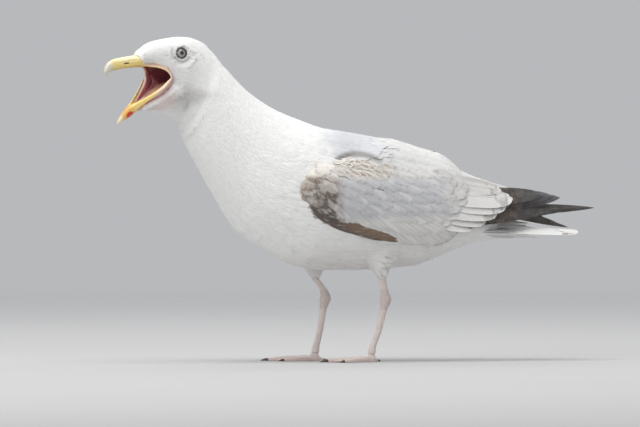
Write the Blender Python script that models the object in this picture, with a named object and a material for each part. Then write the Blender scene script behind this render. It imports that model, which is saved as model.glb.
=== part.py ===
"""A life-size standing gull with its bill wide open, as a still museum model.

Lengths in the tables are millimetres and are turned into metres by the helpers.
The bird faces -X, its left side is -Y, and its soles rest on z = 0.
Each node is one closed solid; neighbours keep a gap of GAP between them.
"""
import math

import bmesh
import bpy
from mathutils import Matrix, Vector

for old in list(bpy.data.objects):
    bpy.data.objects.remove(old, do_unlink=True)

MM = 0.001
GAP = 0.3                      # clearance between two solids that meet

# ---- driving dimensions (mm) ----
EYE_MIDDLE = (-199.8, -8.0, 339.6)   # point midway between the eyes
HEAD_TURN = 27.0               # degrees that the head looks to the bird's left
HEAD_DIP = 6.0                 # degrees that the bill points down
JAW_HINGE = (-10.0, 0.0, -18.0)      # in the head's frame
JAW_DROP = 29.3                # degrees from the head's axis to the lower jaw

# back x, back z, belly x, belly z, half width, sideways shift
BODY = [
    (178, 157, 182, 139, 8, 0),
    (162, 169, 162, 135, 19, 0),
    (139, 186, 136, 129, 31, 0),
    (110, 206, 105, 117, 43, 0),
    (77, 229, 72, 105, 52, 0),
    (42, 246.5, 32, 100, 58, 0),
    (6, 254, -12, 99.5, 61.5, 0),
    (-26, 258.5, -56, 104, 62, 0),
    (-55, 268.5, -95, 123.5, 58, 0),
    (-79, 278.5, -124, 144.5, 50, 0),
    (-98, 290, -146, 178, 42, 0),
    (-113, 301.5, -163, 208, 36.5, 0),
    (-127, 316, -175.5, 230.5, 33, 1),
    (-140, 330.5, -184, 249, 31.5, 3),
]
NECK_STARTS = 10               # index of the ring where the trunk ends
# crown x, crown z, chin x, chin z, half width, sideways shift (head's frame)
HEAD = [
    (-50, -1, -4, -80, 30.5, 5),
    (-41, 9, 3, -73, 30, 1.5),
    (-30, 14.3, 8, -62, 28.8, 0),
    (-17, 16.6, 12, -50, 27, 0),
    (-4, 17, 15, -39, 24.6, 0),
    (8, 16.4, 19, -27, 21.6, 0),
    (18, 15.6, 25, -17.5, 17.4, 0),
    (28, 13.9, 33, -12, 13.4, 0),
    (36, 10.8, 40, -11.5, 10.8, 0),
    (42.2, 6.6, 45, -11, 9.2, 0),
    (46.4, 2.2, 47.5, -10.5, 7.6, 0),
]
# distance from the hinge, mouth floor z, throat z, half width (jaw's frame)
THROAT = [
    (-6, 0, -46, 20),
    (10, 4, -50, 24.5),
    (22, 6, -46, 25.2),
    (33, 3, -40, 25),
    (44, 1, -32, 21.5),
    (54, 1, -20.5, 16.6),
    (62, 1, -13.5, 12.6),
    (70, 1, -8, 8.8),
    (76, 1, -4, 6),
]
# distance from the eyes, culmen z, cutting edge z, half width (head's frame)
UPPER_BILL = [
    (38, -6.5, -11.6, 7.4),
    (44, -0.5, -11.4, 8.3),
    (50, 2.1, -10.9, 7.4),
    (58, 2.3, -10.6, 6.6),
    (66, 2.1, -10.4, 5.9),
    (75, 1.7, -10.6, 5.2),
    (83, 0.6, -11.3, 4.4),
    (89, -2.2, -12.4, 3.4),
    (93, -6.8, -14.2, 2.3),
]
HOOK_TIP = (92.6, -17.2)
# distance from the hinge, tomium z, underside z, half width (jaw's frame)
LOWER_BILL = [
    (30, 9.2, 5.0, 24.6),
    (42, 6.6, 0.8, 22.4),
    (54, 5.7, -0.4, 17.2),
    (66, 6.0, -1.6, 11.4),
    (77, 6.6, -3.0, 6.6),
    (87, 6.2, -3.4, 4.2),
    (95, 4.8, -2.4, 2.9),
    (102, 2.2, -1.0, 1.7),
    (106, 0.7, -0.3, 0.6),
]
RAMUS_WALL = 3.6               # thickness of each side of the lower bill
SYMPHYSIS = 78.0               # from here forward the two sides are one
BEHIND_SIZE = 60.0             # reach of the block that trims the jaw behind the head
EYE_RADIUS = 8.2
EYE_SPOT = (0.0, 16.9, -1.2)
# distance from the hinge, floor z, half width of the trough between the jaw's sides
MOUTH_FLOOR = [
    (22, -1.5, 16.5),
    (33, -4.5, 18.5),
    (44, -5.5, 16.2),
    (54, -5.2, 12),
    (62, -4, 8.2),
    (70, -2.2, 4.6),
    (75, 0.6, 2),
]
# roof x, roof z, floor x, floor z, half width of the space behind the gape (head's frame)
MOUTH_HOLLOW = [
    (-16, -26, -12, -35, 5),
    (-9, -19, -3, -36, 12),
    (2, -13, 10, -33, 17),
    (14, -9.5, 25, -33, 18.5),
    (28, -7.5, 44, -40, 17),
    (40, -7, 64, -50, 14),
]
TONGUE = [                     # distance from hinge, half width, height
    (24, 6.0, 3.0),
    (33, 7.6, 5.2),
    (43, 7.4, 6.6),
    (53, 5.6, 5.6),
    (62, 3.4, 4.0),
    (69, 1.3, 2.2),
]
TONGUE_FLOOR = -4.6            # z of the tongue's underside (jaw's frame)

# x, lower edge z, lower edge y, widest y, upper edge z, upper edge y, thickness
WING = [
    (-63, 182, 57, 59.5, 194, 56, 3),
    (-56, 169, 59, 64, 210, 56, 7),
    (-43, 158, 62, 67.5, 218, 54, 9),
    (-20, 148, 61.5, 69.5, 223, 54, 10),
    (3, 139, 59, 69.5, 231, 47, 10),
    (25, 132.5, 57, 68.5, 246, 28, 10),
    (48, 127, 54.5, 66.5, 249.5, 7, 10),
    (71, 124.8, 52, 63, 242, 2.0, 10),
    (93, 124.2, 48.5, 58.5, 235, 1.0, 9),
    (105, 127, 46, 54, 231, 0.8, 8.5),
    (116, 136, 44, 50, 224.5, 0.8, 8),
    (129, 146, 41, 45, 211.5, 0.8, 7),
    (147, 156, 36, 37.5, 203.5, 0.8, 6),
    (166, 166.5, 28, 28.5, 197.5, 0.8, 5),
    (180, 172.5, 20, 20, 191.5, 0.8, 4),
    (191, 178.5, 9, 9, 184.5, 0.8, 2.4),
]
# centre x, y, z, half height, half thickness of each folded flight-feather fan
LEFT_FANS = [
    [(140, -33, 163, 8.5, 1.6), (165, -30.5, 165, 9, 1.5), (200, -23, 168, 7.4, 1.3),
     (232, -16, 168.6, 5, 1.1), (262, -10, 168.4, 2.6, 0.9), (284, -5, 168.3, 0.7, 0.5)],
    [(140, -31, 176, 10, 1.6), (162, -29.5, 177.5, 11.5, 1.6), (186, -26, 178, 10.4, 1.4),
     (212, -21, 177.6, 8.2, 1.2), (230, -18, 178.6, 5, 1), (240.6, -16.5, 180, 1.2, 0.6)],
]
RIGHT_FANS = [
    [(140, 33, 164, 8.5, 1.6), (170, 31, 163, 8.5, 1.5), (200, 27.5, 159.5, 7, 1.3),
     (232, 22, 153.2, 4.4, 1), (259, 16.5, 146.6, 0.7, 0.5)],
    [(140, 31, 176, 10, 1.6), (166, 29, 175.5, 10.5, 1.6), (196, 24.5, 172, 8, 1.3),
     (228, 19, 166.5, 1.2, 0.6)],
]
# x, edge z, height of the arch, thickness in the middle, half width
TAIL = [
    (140, 141, 12, 14, 20),
    (165, 137, 12, 11, 26),
    (190, 138, 10, 8, 30),
    (215, 140, 7.5, 4.6, 33.5),
    (240, 141.4, 4.5, 2.2, 36),
    (258, 142.0, 2.4, 1.3, 37),
    (262.5, 142.3, 1.6, 0.9, 31),
]
LEGS = {                       # side, y, x of belly, ankle and heel
    "left": (-28.0, 34.5, 39.5, 24.0),
    "right": (28.0, -27.0, -15.0, -26.0),
}
THIGH_BOTTOM = 91.0
ANKLE_HEIGHT = 67.5
HEEL_HEIGHT = 9.0
FOOT_SPLAY = 8.0               # degrees that each foot points outward
# angle from the foot's axis, length, height, half width
TOES = {
    "middle": (0.0, 52.0, 6.4, 3.1),
    "outer": (29.0, 48.0, 5.8, 2.8),
    "inner": (-27.0, 41.0, 5.5, 2.65),
    "hind": (-158.0, 9.5, 5.0, 2.1),
}
CLAWS = {"middle": 9.0, "outer": 7.0, "inner": 7.0, "hind": 4.5}
# share of the claw's length, of the toe's half width, of its height, lift off the floor
CLAW_TAPER = [(0.0, 0.62, 0.54, 0.35), (0.4, 0.5, 0.46, 0.5),
              (0.75, 0.32, 0.3, 0.4), (1.0, 0.12, 0.1, 0.3)]
WEB_REACH = 0.93               # how far the webs run along the toes
WEB_HOLLOW = 0.80              # how deep their front edges curve in
WEB_LEVELS = (0.5, 2.3)
BELOW = 3.0                    # toes start this far under the floor, then are cut flat


def paint(name, colour, roughness):
    material = bpy.data.materials.new(name)
    material.use_nodes = True
    shader = material.node_tree.nodes["Principled BSDF"]
    shader.inputs["Base Color"].default_value = (*colour, 1.0)
    shader.inputs["Roughness"].default_value = roughness
    shader.inputs["Metallic"].default_value = 0.0
    return material


COLOURS = {
    "head": ((0.86, 0.86, 0.84), 0.8),
    "neck": ((0.83, 0.83, 0.81), 0.8),
    "trunk": ((0.74, 0.74, 0.73), 0.8),
    "thigh": ((0.72, 0.72, 0.70), 0.8),
    "tail": ((0.80, 0.80, 0.78), 0.7),
    "wing": ((0.55, 0.56, 0.58), 0.7),
    "primaries": ((0.06, 0.055, 0.05), 0.5),
    "leg": ((0.66, 0.50, 0.45), 0.5),
    "foot": ((0.68, 0.50, 0.45), 0.5),
    "claw": ((0.07, 0.06, 0.05), 0.35),
    "eye": ((0.62, 0.62, 0.56), 0.1),
    "bill": ((0.80, 0.62, 0.24), 0.4),
    "tongue": ((0.66, 0.34, 0.26), 0.4),
}


def head_frame():
    """Head's axes: x forward along the bill, y to the bird's left, z up."""
    turn = Matrix.Rotation(math.radians(180.0 + HEAD_TURN), 4, "Z")
    dip = Matrix.Rotation(math.radians(HEAD_DIP), 4, "Y")
    return Matrix.Translation(Vector(EYE_MIDDLE)) @ turn @ dip


def jaw_frame():
    drop = Matrix.Rotation(math.radians(JAW_DROP), 4, "Y")
    return head_frame() @ Matrix.Translation(Vector(JAW_HINGE)) @ drop


def blend(rows, steps):
    """Rows of numbers joined by a smooth curve, with steps between each two."""
    result = []
    last = len(rows) - 1
    for i in range(last):
        before, start = rows[max(i - 1, 0)], rows[i]
        end, after = rows[i + 1], rows[min(i + 2, last)]
        for k in range(steps):
            t = k / steps
            result.append(tuple(
                0.5 * (2 * b + (c - a) * t + (2 * a - 5 * b + 4 * c - d) * t * t
                       + (3 * b - a - 3 * c + d) * t ** 3)
                for a, b, c, d in zip(before, start, end, after)))
    result.append(tuple(rows[last]))
    return result


def oval(top, bottom, side, half_width, grow=0.0, points=22, power=2.2):
    """A rounded ring between two points, as wide as half_width along side."""
    centre = (top + bottom) / 2
    upward = top - bottom
    half_height = upward.length / 2 + grow
    upward.normalize()
    wide = half_width + grow
    ring = []
    for i in range(points):
        a = 2 * math.pi * i / points
        c, s = math.cos(a), math.sin(a)
        u = math.copysign(abs(c) ** (2 / power), c) * half_height
        v = math.copysign(abs(s) ** (2 / power), s) * wide
        ring.append(centre + upward * u + side * v)
    return ring


def shifted(ring, towards, distance):
    direction = towards - centre_of(ring)
    direction.normalize()
    return [p + direction * distance for p in ring]


def centre_of(ring):
    return sum(ring, Vector()) / len(ring)


def solid(name, rings, material=None):
    """A closed skin over the rings (mm), each end filled by a strip across it."""
    mesh = bmesh.new()
    loops = [[mesh.verts.new(p * MM) for p in ring] for ring in rings]
    count = len(rings[0])
    for lower, upper in zip(loops, loops[1:]):
        for i in range(count):
            j = (i + 1) % count
            mesh.faces.new((lower[i], lower[j], upper[j], upper[i]))
    for loop in (loops[0], loops[-1]):
        for i in range(count // 2 - 1 + count % 2):
            corners = (loop[i], loop[i + 1], loop[count - 2 - i], loop[count - 1 - i])
            mesh.faces.new(list(dict.fromkeys(corners)))
    bmesh.ops.recalc_face_normals(mesh, faces=mesh.faces)
    if mesh.calc_volume(signed=True) < 0:
        bmesh.ops.reverse_faces(mesh, faces=mesh.faces)
    return finished(name, mesh, material)


def finished(name, mesh, material=None):
    data = bpy.data.meshes.new(name)
    mesh.to_mesh(data)
    mesh.free()
    data.shade_smooth()
    data.set_sharp_from_angle(angle=math.radians(50))
    piece = bpy.data.objects.new(name, data)
    bpy.context.scene.collection.objects.link(piece)
    if material:
        data.materials.append(material)
    return piece


def combine(piece, other, operation):
    """Boolean of two pieces; the second one is used up."""
    step = piece.modifiers.new("step", "BOOLEAN")
    step.solver = "EXACT"
    step.operation = operation
    step.object = other
    bpy.context.view_layer.update()
    graph = bpy.context.evaluated_depsgraph_get()
    result = bpy.data.meshes.new_from_object(piece.evaluated_get(graph))
    piece.modifiers.clear()
    tidy = bmesh.new()
    tidy.from_mesh(result)
    bmesh.ops.remove_doubles(tidy, verts=tidy.verts, dist=0.000001)
    bmesh.ops.triangulate(tidy, faces=[f for f in tidy.faces if len(f.verts) > 4])
    tidy.to_mesh(result)
    tidy.free()
    piece.data = result
    result.name = piece.name
    bpy.data.objects.remove(other, do_unlink=True)
    return piece


def cut(piece, *others):
    for other in others:
        combine(piece, other, "DIFFERENCE")
    return piece


def join(piece, *others):
    for other in others:
        combine(piece, other, "UNION")
    return piece


def largest_body(piece):
    """Keep only the biggest connected body, dropping crumbs left by a cut."""
    mesh = bmesh.new()
    mesh.from_mesh(piece.data)
    unseen = set(mesh.faces)
    bodies = []
    while unseen:
        stack = [unseen.pop()]
        body = []
        while stack:
            face = stack.pop()
            body.append(face)
            for edge in face.edges:
                for other in edge.link_faces:
                    if other in unseen:
                        unseen.remove(other)
                        stack.append(other)
        bodies.append(body)
    bodies.sort(key=lambda body: sum(f.calc_area() for f in body))
    crumbs = [face for body in bodies[:-1] for face in body]
    bmesh.ops.delete(mesh, geom=crumbs, context="FACES")
    loose = [v for v in mesh.verts if not v.link_faces]
    bmesh.ops.delete(mesh, geom=loose, context="VERTS")
    mesh.to_mesh(piece.data)
    mesh.free()
    return piece


def body_rings(grow=0.0):
    """Rings from the tail coverts to the forehead, and the indices of the cuts."""
    placed = []
    for back_x, back_z, belly_x, belly_z, half, shift in BODY:
        placed.append((back_x, shift, back_z, belly_x, shift, belly_z, half, 0.0))
    frame = head_frame()
    for crown_x, crown_z, chin_x, chin_z, half, shift in HEAD:
        crown = frame @ Vector((crown_x, shift, crown_z))
        chin = frame @ Vector((chin_x, shift, chin_z))
        placed.append((*crown, *chin, half, 1.0))
    head_starts = len(BODY) - 1
    rings = []
    for tx, ty, tz, bx, by, bz, half, turned in blend(placed, 2):
        angle = math.radians(HEAD_TURN) * min(max(turned, 0.0), 1.0)
        side = Vector((math.sin(angle), -math.cos(angle), 0))
        rings.append(oval(Vector((tx, ty, tz)), Vector((bx, by, bz)), side, half, grow))
    return rings, NECK_STARTS * 2, head_starts * 2


def whole_body(grow):
    return solid("body_cutter", body_rings(grow)[0])


def trunk_neck_head(paints):
    rings, neck, head = body_rings()
    trunk = solid("trunk", rings[:neck + 1], paints["trunk"])
    first = shifted(rings[neck], centre_of(rings[neck + 1]), GAP)
    last = shifted(rings[head], centre_of(rings[head - 1]), GAP)
    solid("neck", [first] + rings[neck + 1:head] + [last], paints["neck"])
    face = solid("head", rings[head:], paints["head"])
    return trunk, face


def jaw_rings(rows, frame, grow=0.0, power=2.2, points=20):
    """Rings square to the jaw: distance, top z, bottom z, half width."""
    side = (frame.to_3x3() @ Vector((0, 1, 0))).normalized()
    return [oval(frame @ Vector((x, 0, top)), frame @ Vector((x, 0, bottom)), side,
                 half, grow, points, power)
            for x, top, bottom, half in rows]


def lower_bill(grow=0.0):
    """The horny lower bill: two side bars that become one towards the tip."""
    frame = jaw_frame()
    outside = jaw_rings(blend(LOWER_BILL, 2), frame, grow, 3.0, 12)
    bill = solid("bill_lower", outside)
    inner = [(x, 30, -30, half - RAMUS_WALL - grow) for x, _, _, half in LOWER_BILL[:5]]
    inner[0] = (LOWER_BILL[0][0] - 10, 30, -30, inner[0][3] + 6)
    inner[-1] = (SYMPHYSIS - grow, 30, -30, 0.8)
    slot = solid("slot", jaw_rings(blend(inner, 2), frame, 0, 8.0, 8))
    return cut(bill, slot)


def upper_bill(grow=0.0):
    frame = head_frame()
    rings = jaw_rings(blend(UPPER_BILL, 2), frame, grow, 2.4, 12)
    side = (frame.to_3x3() @ Vector((0, 1, 0))).normalized()
    tip = frame @ Vector((HOOK_TIP[0], 0, HOOK_TIP[1]))
    front = frame @ Vector((HOOK_TIP[0] + 1.9, 0, HOOK_TIP[1] + 5.2))
    back = frame @ Vector((HOOK_TIP[0] - 1.2, 0, HOOK_TIP[1] + 1.6))
    rings.append(oval(front, back, side, 1.5, grow, 12, 2.4))
    rings.append(oval(tip + (front - tip) * 0.14, tip, side, 0.6, grow, 12, 2.4))
    return solid("bill_upper", rings)


def eyeball(name, mirror, radius, material=None):
    mesh = bmesh.new()
    bmesh.ops.create_uvsphere(mesh, u_segments=12, v_segments=9, radius=radius * MM)
    spot = head_frame() @ Vector((EYE_SPOT[0], EYE_SPOT[1] * mirror, EYE_SPOT[2]))
    turn = head_frame().to_3x3().to_4x4() @ Matrix.Rotation(math.radians(90), 4, "X")
    place = Matrix.Translation(spot * MM) @ turn
    bmesh.ops.transform(mesh, matrix=place, verts=mesh.verts)
    return finished(name, mesh, material)


def mouth_hollow():
    """The space behind the corners of the gape, down towards the throat."""
    frame = head_frame()
    side = (frame.to_3x3() @ Vector((0, 1, 0))).normalized()
    rings = [oval(frame @ Vector((rx, 0, rz)), frame @ Vector((fx, 0, fz)), side,
                  half, 0, 12, 2.3)
             for rx, rz, fx, fz, half in MOUTH_HOLLOW]
    return solid("hollow", rings)


def mouth_trough():
    """The sunken floor of the mouth between the two sides of the lower bill."""
    rows = [(x, 12, floor, half) for x, floor, half in MOUTH_FLOOR]
    return solid("trough", jaw_rings(rows, jaw_frame(), 0, 3.0, 12))


def throat_and_jaw():
    """The flesh of the lower jaw, cut short of the plane where the neck begins."""
    jaw = solid("jaw", jaw_rings(THROAT, jaw_frame(), 0, 2.4, 18))
    rings, _, head = body_rings(BEHIND_SIZE)
    behind = solid("behind", [shifted(rings[head], centre_of(rings[head + 1]), 1.0),
                              shifted(rings[head], centre_of(rings[head - 2]), BEHIND_SIZE)])
    return cut(jaw, behind)


def tongue(grow=0.0):
    """A low tongue that lies on the mouth's floor."""
    frame = jaw_frame()
    rings = []
    for x, half, height in TONGUE:
        rings.append([frame @ p for p in
                      toe_section(x, half + grow, height + 2 * grow, TONGUE_FLOOR - grow,
                                  points=10)])
    rings[0] = [p - (frame @ Vector((grow, 0, 0)) - frame @ Vector()) for p in rings[0]]
    rings[-1] = [p + (frame @ Vector((grow, 0, 0)) - frame @ Vector()) for p in rings[-1]]
    return solid("tongue", rings)


def build_head(face, paints):
    join(face, throat_and_jaw())
    cut(face, mouth_hollow(), mouth_trough(),
        lower_bill(GAP), upper_bill(GAP), tongue(GAP))
    for mirror in (1, -1):
        cut(face, eyeball("socket", mirror, EYE_RADIUS + GAP))
    largest_body(face)
    for piece in (upper_bill(), lower_bill()):
        piece.data.materials.append(paints["bill"])
    tongue().data.materials.append(paints["tongue"])
    eyeball("eye_left", 1, EYE_RADIUS, paints["eye"])
    eyeball("eye_right", -1, EYE_RADIUS, paints["eye"])


def wing_section(x, low_z, low_y, wide_y, top_z, top_y, thick, side, grow):
    """A curved plate that wraps the flank, thin at both of its edges."""
    rise = top_z - low_z
    points = [(low_y, low_z - grow), (wide_y * 1.14, low_z + 0.33 * rise),
              (wide_y * 1.02, top_z), (top_y, top_z + grow)]
    steps = 7
    middle = low_z + 0.4 * rise
    outer, inner = [], []
    for i in range(steps + 1):
        t = i / steps
        weights = ((1 - t) ** 3, 3 * t * (1 - t) ** 2, 3 * t * t * (1 - t), t ** 3)
        y, z = (sum(w * p[n] for w, p in zip(weights, points)) for n in (0, 1))
        radius = math.hypot(y, z - middle)
        depth = thick * (0.22 + 0.78 * math.sin(math.pi * (0.1 + 0.62 * t)))
        outer.append((y * (1 + grow / radius), z + (z - middle) * grow / radius))
        inward = (depth + grow) / radius
        inner.append((max(y * (1 - inward), 0.8 - grow), z - (z - middle) * inward))
    return [Vector((x, side * y, z)) for y, z in outer + inner[::-1]]


def wing(name, side, grow=0.0, material=None):
    rings = [wing_section(*row, side, grow) for row in WING]
    for ring, step in ((rings[0], -grow), (rings[-1], grow)):
        for point in ring:
            point.x += step
    return solid(name, rings, material)


def fan_blade(name, rows, grow=0.0):
    """One flat fan of folded flight feathers, standing nearly on edge."""
    rings = []
    for x, y, z, half, thin in blend(rows, 2):
        top = Vector((x, y, z + half))
        bottom = Vector((x, y, z - half))
        rings.append(oval(top, bottom, Vector((0, 1, 0)), thin, grow, 8, 2.0))
    return solid(name, rings)


def tail(grow=0.0, material=None):
    rings = []
    for x, edge, arch, thick, half in TAIL:
        ring = []
        for level in (1, -1):
            for i in range(9):
                t = (2 * i / 8 - 1) * level
                crown = edge + arch * (1 - t * t)
                depth = (0.4 + thick * (1 - t * t)) / 2 + grow
                ring.append(Vector((x, t * (half + grow), crown + level * depth)))
        rings.append(ring)
    return solid("tail", rings, material)


def build_tail_and_wings(paints):
    tail_piece = tail(0, paints["tail"])
    cut(tail_piece, whole_body(GAP))
    largest_body(tail_piece)
    for label, side, fans in (("left", -1, LEFT_FANS), ("right", 1, RIGHT_FANS)):
        flank = wing(f"wing_{label}", side, 0, paints["wing"])
        cut(flank, whole_body(GAP), tail(GAP))
        largest_body(flank)
        blade = fan_blade(f"primaries_{label}", fans[0])
        join(blade, fan_blade("upper", fans[1]))
        cut(blade, wing("wing_cutter", side, GAP), whole_body(GAP), tail(GAP))
        largest_body(blade)
        blade.data.materials.clear()
        blade.data.materials.append(paints["primaries"])


def tube(name, rows, material, points=10):
    """Upright limb: x, y, z, half depth fore and aft, half width."""
    rings = []
    for x, y, z, deep, wide in rows:
        rings.append([Vector((x + math.cos(2 * math.pi * i / points) * deep,
                              y + math.sin(2 * math.pi * i / points) * wide, z))
                      for i in range(points)])
    return solid(name, rings, material)


def build_leg(label, paints):
    y, hip_x, ankle_x, heel_x = LEGS[label]
    thigh_rows = [
        (hip_x - 3, y, 126, 21, 17),
        (hip_x - 2, y, 112, 18, 15),
        (hip_x, y, 101, 12.5, 11),
        (hip_x + 1, y, THIGH_BOTTOM, 6.4, 5.8),
    ]
    thigh = tube(f"thigh_{label}", blend(thigh_rows, 2), paints["thigh"], 12)
    cut(thigh, whole_body(GAP))
    largest_body(thigh)
    knee_z = THIGH_BOTTOM - GAP
    leg_rows = [
        (hip_x + 1, y, knee_z, 4.4, 4.0),
        (ankle_x - 1, y, ANKLE_HEIGHT + 10, 4.6, 4.0),
        (ankle_x + 0.5, y, ANKLE_HEIGHT, 6.6, 5.3),
        (ankle_x - 2, y, ANKLE_HEIGHT - 9, 4.5, 3.6),
        ((ankle_x + heel_x) / 2, y, ANKLE_HEIGHT / 2, 3.7, 2.8),
        (heel_x + 1, y, HEEL_HEIGHT + 8, 4.0, 3.1),
        (heel_x, y, HEEL_HEIGHT + GAP, 4.8, 4.2),
    ]
    tube(f"leg_{label}", blend(leg_rows, 2), paints["leg"])


def foot_frame():
    """The left foot's own axes at its heel, x along the middle toe."""
    y, _, _, heel_x = LEGS["left"]
    turn = Matrix.Rotation(math.radians(180.0 + FOOT_SPLAY), 4, "Z")
    return Matrix.Translation(Vector((heel_x, y, 0))) @ turn


def toe_section(distance, half, height, lift=0.0, depth=0.0, points=7):
    """A ring with a flat sole and a rounded top, across a toe."""
    ring = []
    for i in range(points):
        a = math.pi * i / (points - 1)
        ring.append(Vector((distance, math.cos(a) * half, lift + math.sin(a) * height)))
    if depth:
        ring.append(Vector((distance, -half, -depth)))
        ring.append(Vector((distance, half, -depth)))
    return ring


def toe_frame(toe):
    return foot_frame() @ Matrix.Rotation(math.radians(TOES[toe][0]), 4, "Z")


def toe_solid(toe):
    _, length, height, half = TOES[toe]
    order = list(TOES).index(toe)
    rows = [(-1.5 - 0.45 * order, half * 1.1, height * 1.2),
            (length * 0.12, half * 1.1, height * 1.15),
            (length * 0.33, half, height), (length * 0.48, half * 1.08, height * 1.04),
            (length * 0.72, half * 0.92, height * 0.84), (length, half * 0.78, height * 0.66)]
    place = toe_frame(toe)
    depth = BELOW + 0.4 * order
    return solid("toe", [[place @ p for p in toe_section(x, w, h, 0, depth)]
                         for x, w, h in rows])


def web_solid():
    """Both webs as one thin plate, hollowed between the toes' tips."""
    frame = foot_frame()
    outline = [Vector((-2.0, 0, 0))]
    for first, second in (("outer", "middle"), ("middle", "inner")):
        start, end = (toe_frame(toe) @ Vector((TOES[toe][1] * WEB_REACH, 0, 0))
                      for toe in (first, second))
        start, end = frame.inverted() @ start, frame.inverted() @ end
        dip = (start + end) / 2 * WEB_HOLLOW
        for i in range(7):
            t = i / 6
            point = start * (1 - t) ** 2 + dip * 2 * t * (1 - t) + end * t * t
            if (point - outline[-1]).length > 0.5:
                outline.append(point)
    rings = [[frame @ (p + Vector((0, 0, level))) for p in outline] for level in WEB_LEVELS]
    mesh = bmesh.new()
    rims = [[mesh.verts.new(p * MM) for p in ring] for ring in rings]
    mesh.faces.new(rims[0])
    mesh.faces.new(rims[1][::-1])
    for i in range(len(outline)):
        j = (i + 1) % len(outline)
        mesh.faces.new((rims[0][i], rims[1][i], rims[1][j], rims[0][j]))
    bmesh.ops.triangulate(mesh, faces=mesh.faces)
    bmesh.ops.recalc_face_normals(mesh, faces=mesh.faces)
    return finished("web", mesh)


def other_side(piece, name):
    """The left foot's piece mirrored and carried to the right foot's heel."""
    y, _, _, heel_x = LEGS["left"]
    _, _, _, far_heel_x = LEGS["right"]
    carry = (Matrix.Translation(Vector((far_heel_x - heel_x, 0, 0)) * MM)
             @ Matrix.Scale(-1, 4, Vector((0, 1, 0))))
    twin = piece.copy()
    twin.data = piece.data.copy()
    twin.data.transform(carry)
    twin.data.flip_normals()
    twin.name = twin.data.name = name
    bpy.context.scene.collection.objects.link(twin)


def build_feet(paints):
    foot = toe_solid("middle")
    foot.name = "foot_left"
    knuckle_rows = [(-4.2, 4.0, 7.5), (0, 5.2, HEEL_HEIGHT), (5, 4.4, 8.2)]
    knuckle = solid("knuckle", [[foot_frame() @ p for p in toe_section(x, w, h, 0, BELOW + 2)]
                                for x, w, h in knuckle_rows])
    join(foot, toe_solid("outer"), toe_solid("inner"), toe_solid("hind"), knuckle, web_solid())
    y, _, _, heel_x = LEGS["left"]
    reach = TOES["middle"][1] + 40
    ground = tube("ground", [(heel_x - 20, y, level, reach, reach) for level in (-9, 0)], None)
    cut(foot, ground)
    largest_body(foot)
    foot.data.materials.clear()
    foot.data.materials.append(paints["foot"])
    other_side(foot, "foot_right")
    for toe, claw in CLAWS.items():
        _, length, height, half = TOES[toe]
        rows = [(length + max(share * claw, GAP), half * wide, height * tall, lift)
                for share, wide, tall, lift in CLAW_TAPER]
        place = toe_frame(toe)
        rings = [[place @ p for p in toe_section(*row, points=6)] for row in rows]
        other_side(solid(f"claw_{toe}_left", rings, paints["claw"]), f"claw_{toe}_right")


def build():
    paints = {name: paint(name, *values) for name, values in COLOURS.items()}
    _, face = trunk_neck_head(paints)
    build_head(face, paints)
    build_tail_and_wings(paints)
    for label in LEGS:
        build_leg(label, paints)
    build_feet(paints)


build()
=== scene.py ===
import math

import bmesh
import bpy
import numpy as np
from mathutils import Matrix, Vector
from mathutils.bvhtree import BVHTree


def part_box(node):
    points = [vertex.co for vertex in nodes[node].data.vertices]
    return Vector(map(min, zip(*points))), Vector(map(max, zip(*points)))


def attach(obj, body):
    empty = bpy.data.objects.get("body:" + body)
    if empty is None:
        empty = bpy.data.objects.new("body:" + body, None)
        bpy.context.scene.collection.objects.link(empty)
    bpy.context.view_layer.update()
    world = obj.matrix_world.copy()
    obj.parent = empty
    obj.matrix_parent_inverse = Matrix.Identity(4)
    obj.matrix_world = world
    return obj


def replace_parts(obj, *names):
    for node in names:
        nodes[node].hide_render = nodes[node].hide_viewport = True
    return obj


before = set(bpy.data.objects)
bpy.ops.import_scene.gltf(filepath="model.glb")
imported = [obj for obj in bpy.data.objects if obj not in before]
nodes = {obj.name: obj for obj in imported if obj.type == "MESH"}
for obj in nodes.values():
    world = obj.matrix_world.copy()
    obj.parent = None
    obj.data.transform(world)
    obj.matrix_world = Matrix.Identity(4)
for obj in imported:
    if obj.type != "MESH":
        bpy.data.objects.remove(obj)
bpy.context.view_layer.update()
mm = 0.001
sides = {"left": -1, "right": 1}


def eyeMiddle(label):
    low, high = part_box(f"eye_{label}")
    return (low + high) / 2


def eyeRadius(label):
    low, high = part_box(f"eye_{label}")
    return (high.z - low.z) / 2


# The head's own axes: x forward along the bill, y to the bird's left, z up
headLook = {"dip": 6.0, "eyeDrop": 1.2 * mm}
jawLook = {"hinge": (-10 * mm, 0, -18 * mm), "drop": 29.3}


def makeHeadFrame():
    across = (eyeMiddle("left") - eyeMiddle("right")).normalized()
    turn = Matrix.Rotation(math.atan2(-across.x, across.y), 4, "Z")
    dip = Matrix.Rotation(math.radians(headLook["dip"]), 4, "Y")
    middle = (eyeMiddle("left") + eyeMiddle("right")) / 2
    origin = middle + turn @ dip @ Vector((0, 0, headLook["eyeDrop"]))
    return Matrix.Translation(origin) @ turn @ dip


headFrame = makeHeadFrame()
jawFrame = (headFrame @ Matrix.Translation(Vector(jawLook["hinge"]))
            @ Matrix.Rotation(math.radians(jawLook["drop"]), 4, "Y"))


def local(points, matrix):
    # points (n, 3) in metres, given in the matrix's own axes in millimetres
    inverse = np.array(matrix.inverted())
    return (points @ inverse[:3, :3].T + inverse[:3, 3]) / mm


def ramp(value, low, high):
    # 0 below low, 1 above high, smooth between; low may be the larger one
    t = np.clip((value - low) / (high - low), 0, 1)
    return t * t * (3 - 2 * t)


def plateau(value, low, full, lessens, gone):
    # rises from low to full and falls again from lessens to gone
    return ramp(value, low, full) * ramp(value, gone, lessens)


def unit(vectors):
    length = np.linalg.norm(vectors, axis=-1, keepdims=True)
    return vectors / np.maximum(length, 1e-12)


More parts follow.
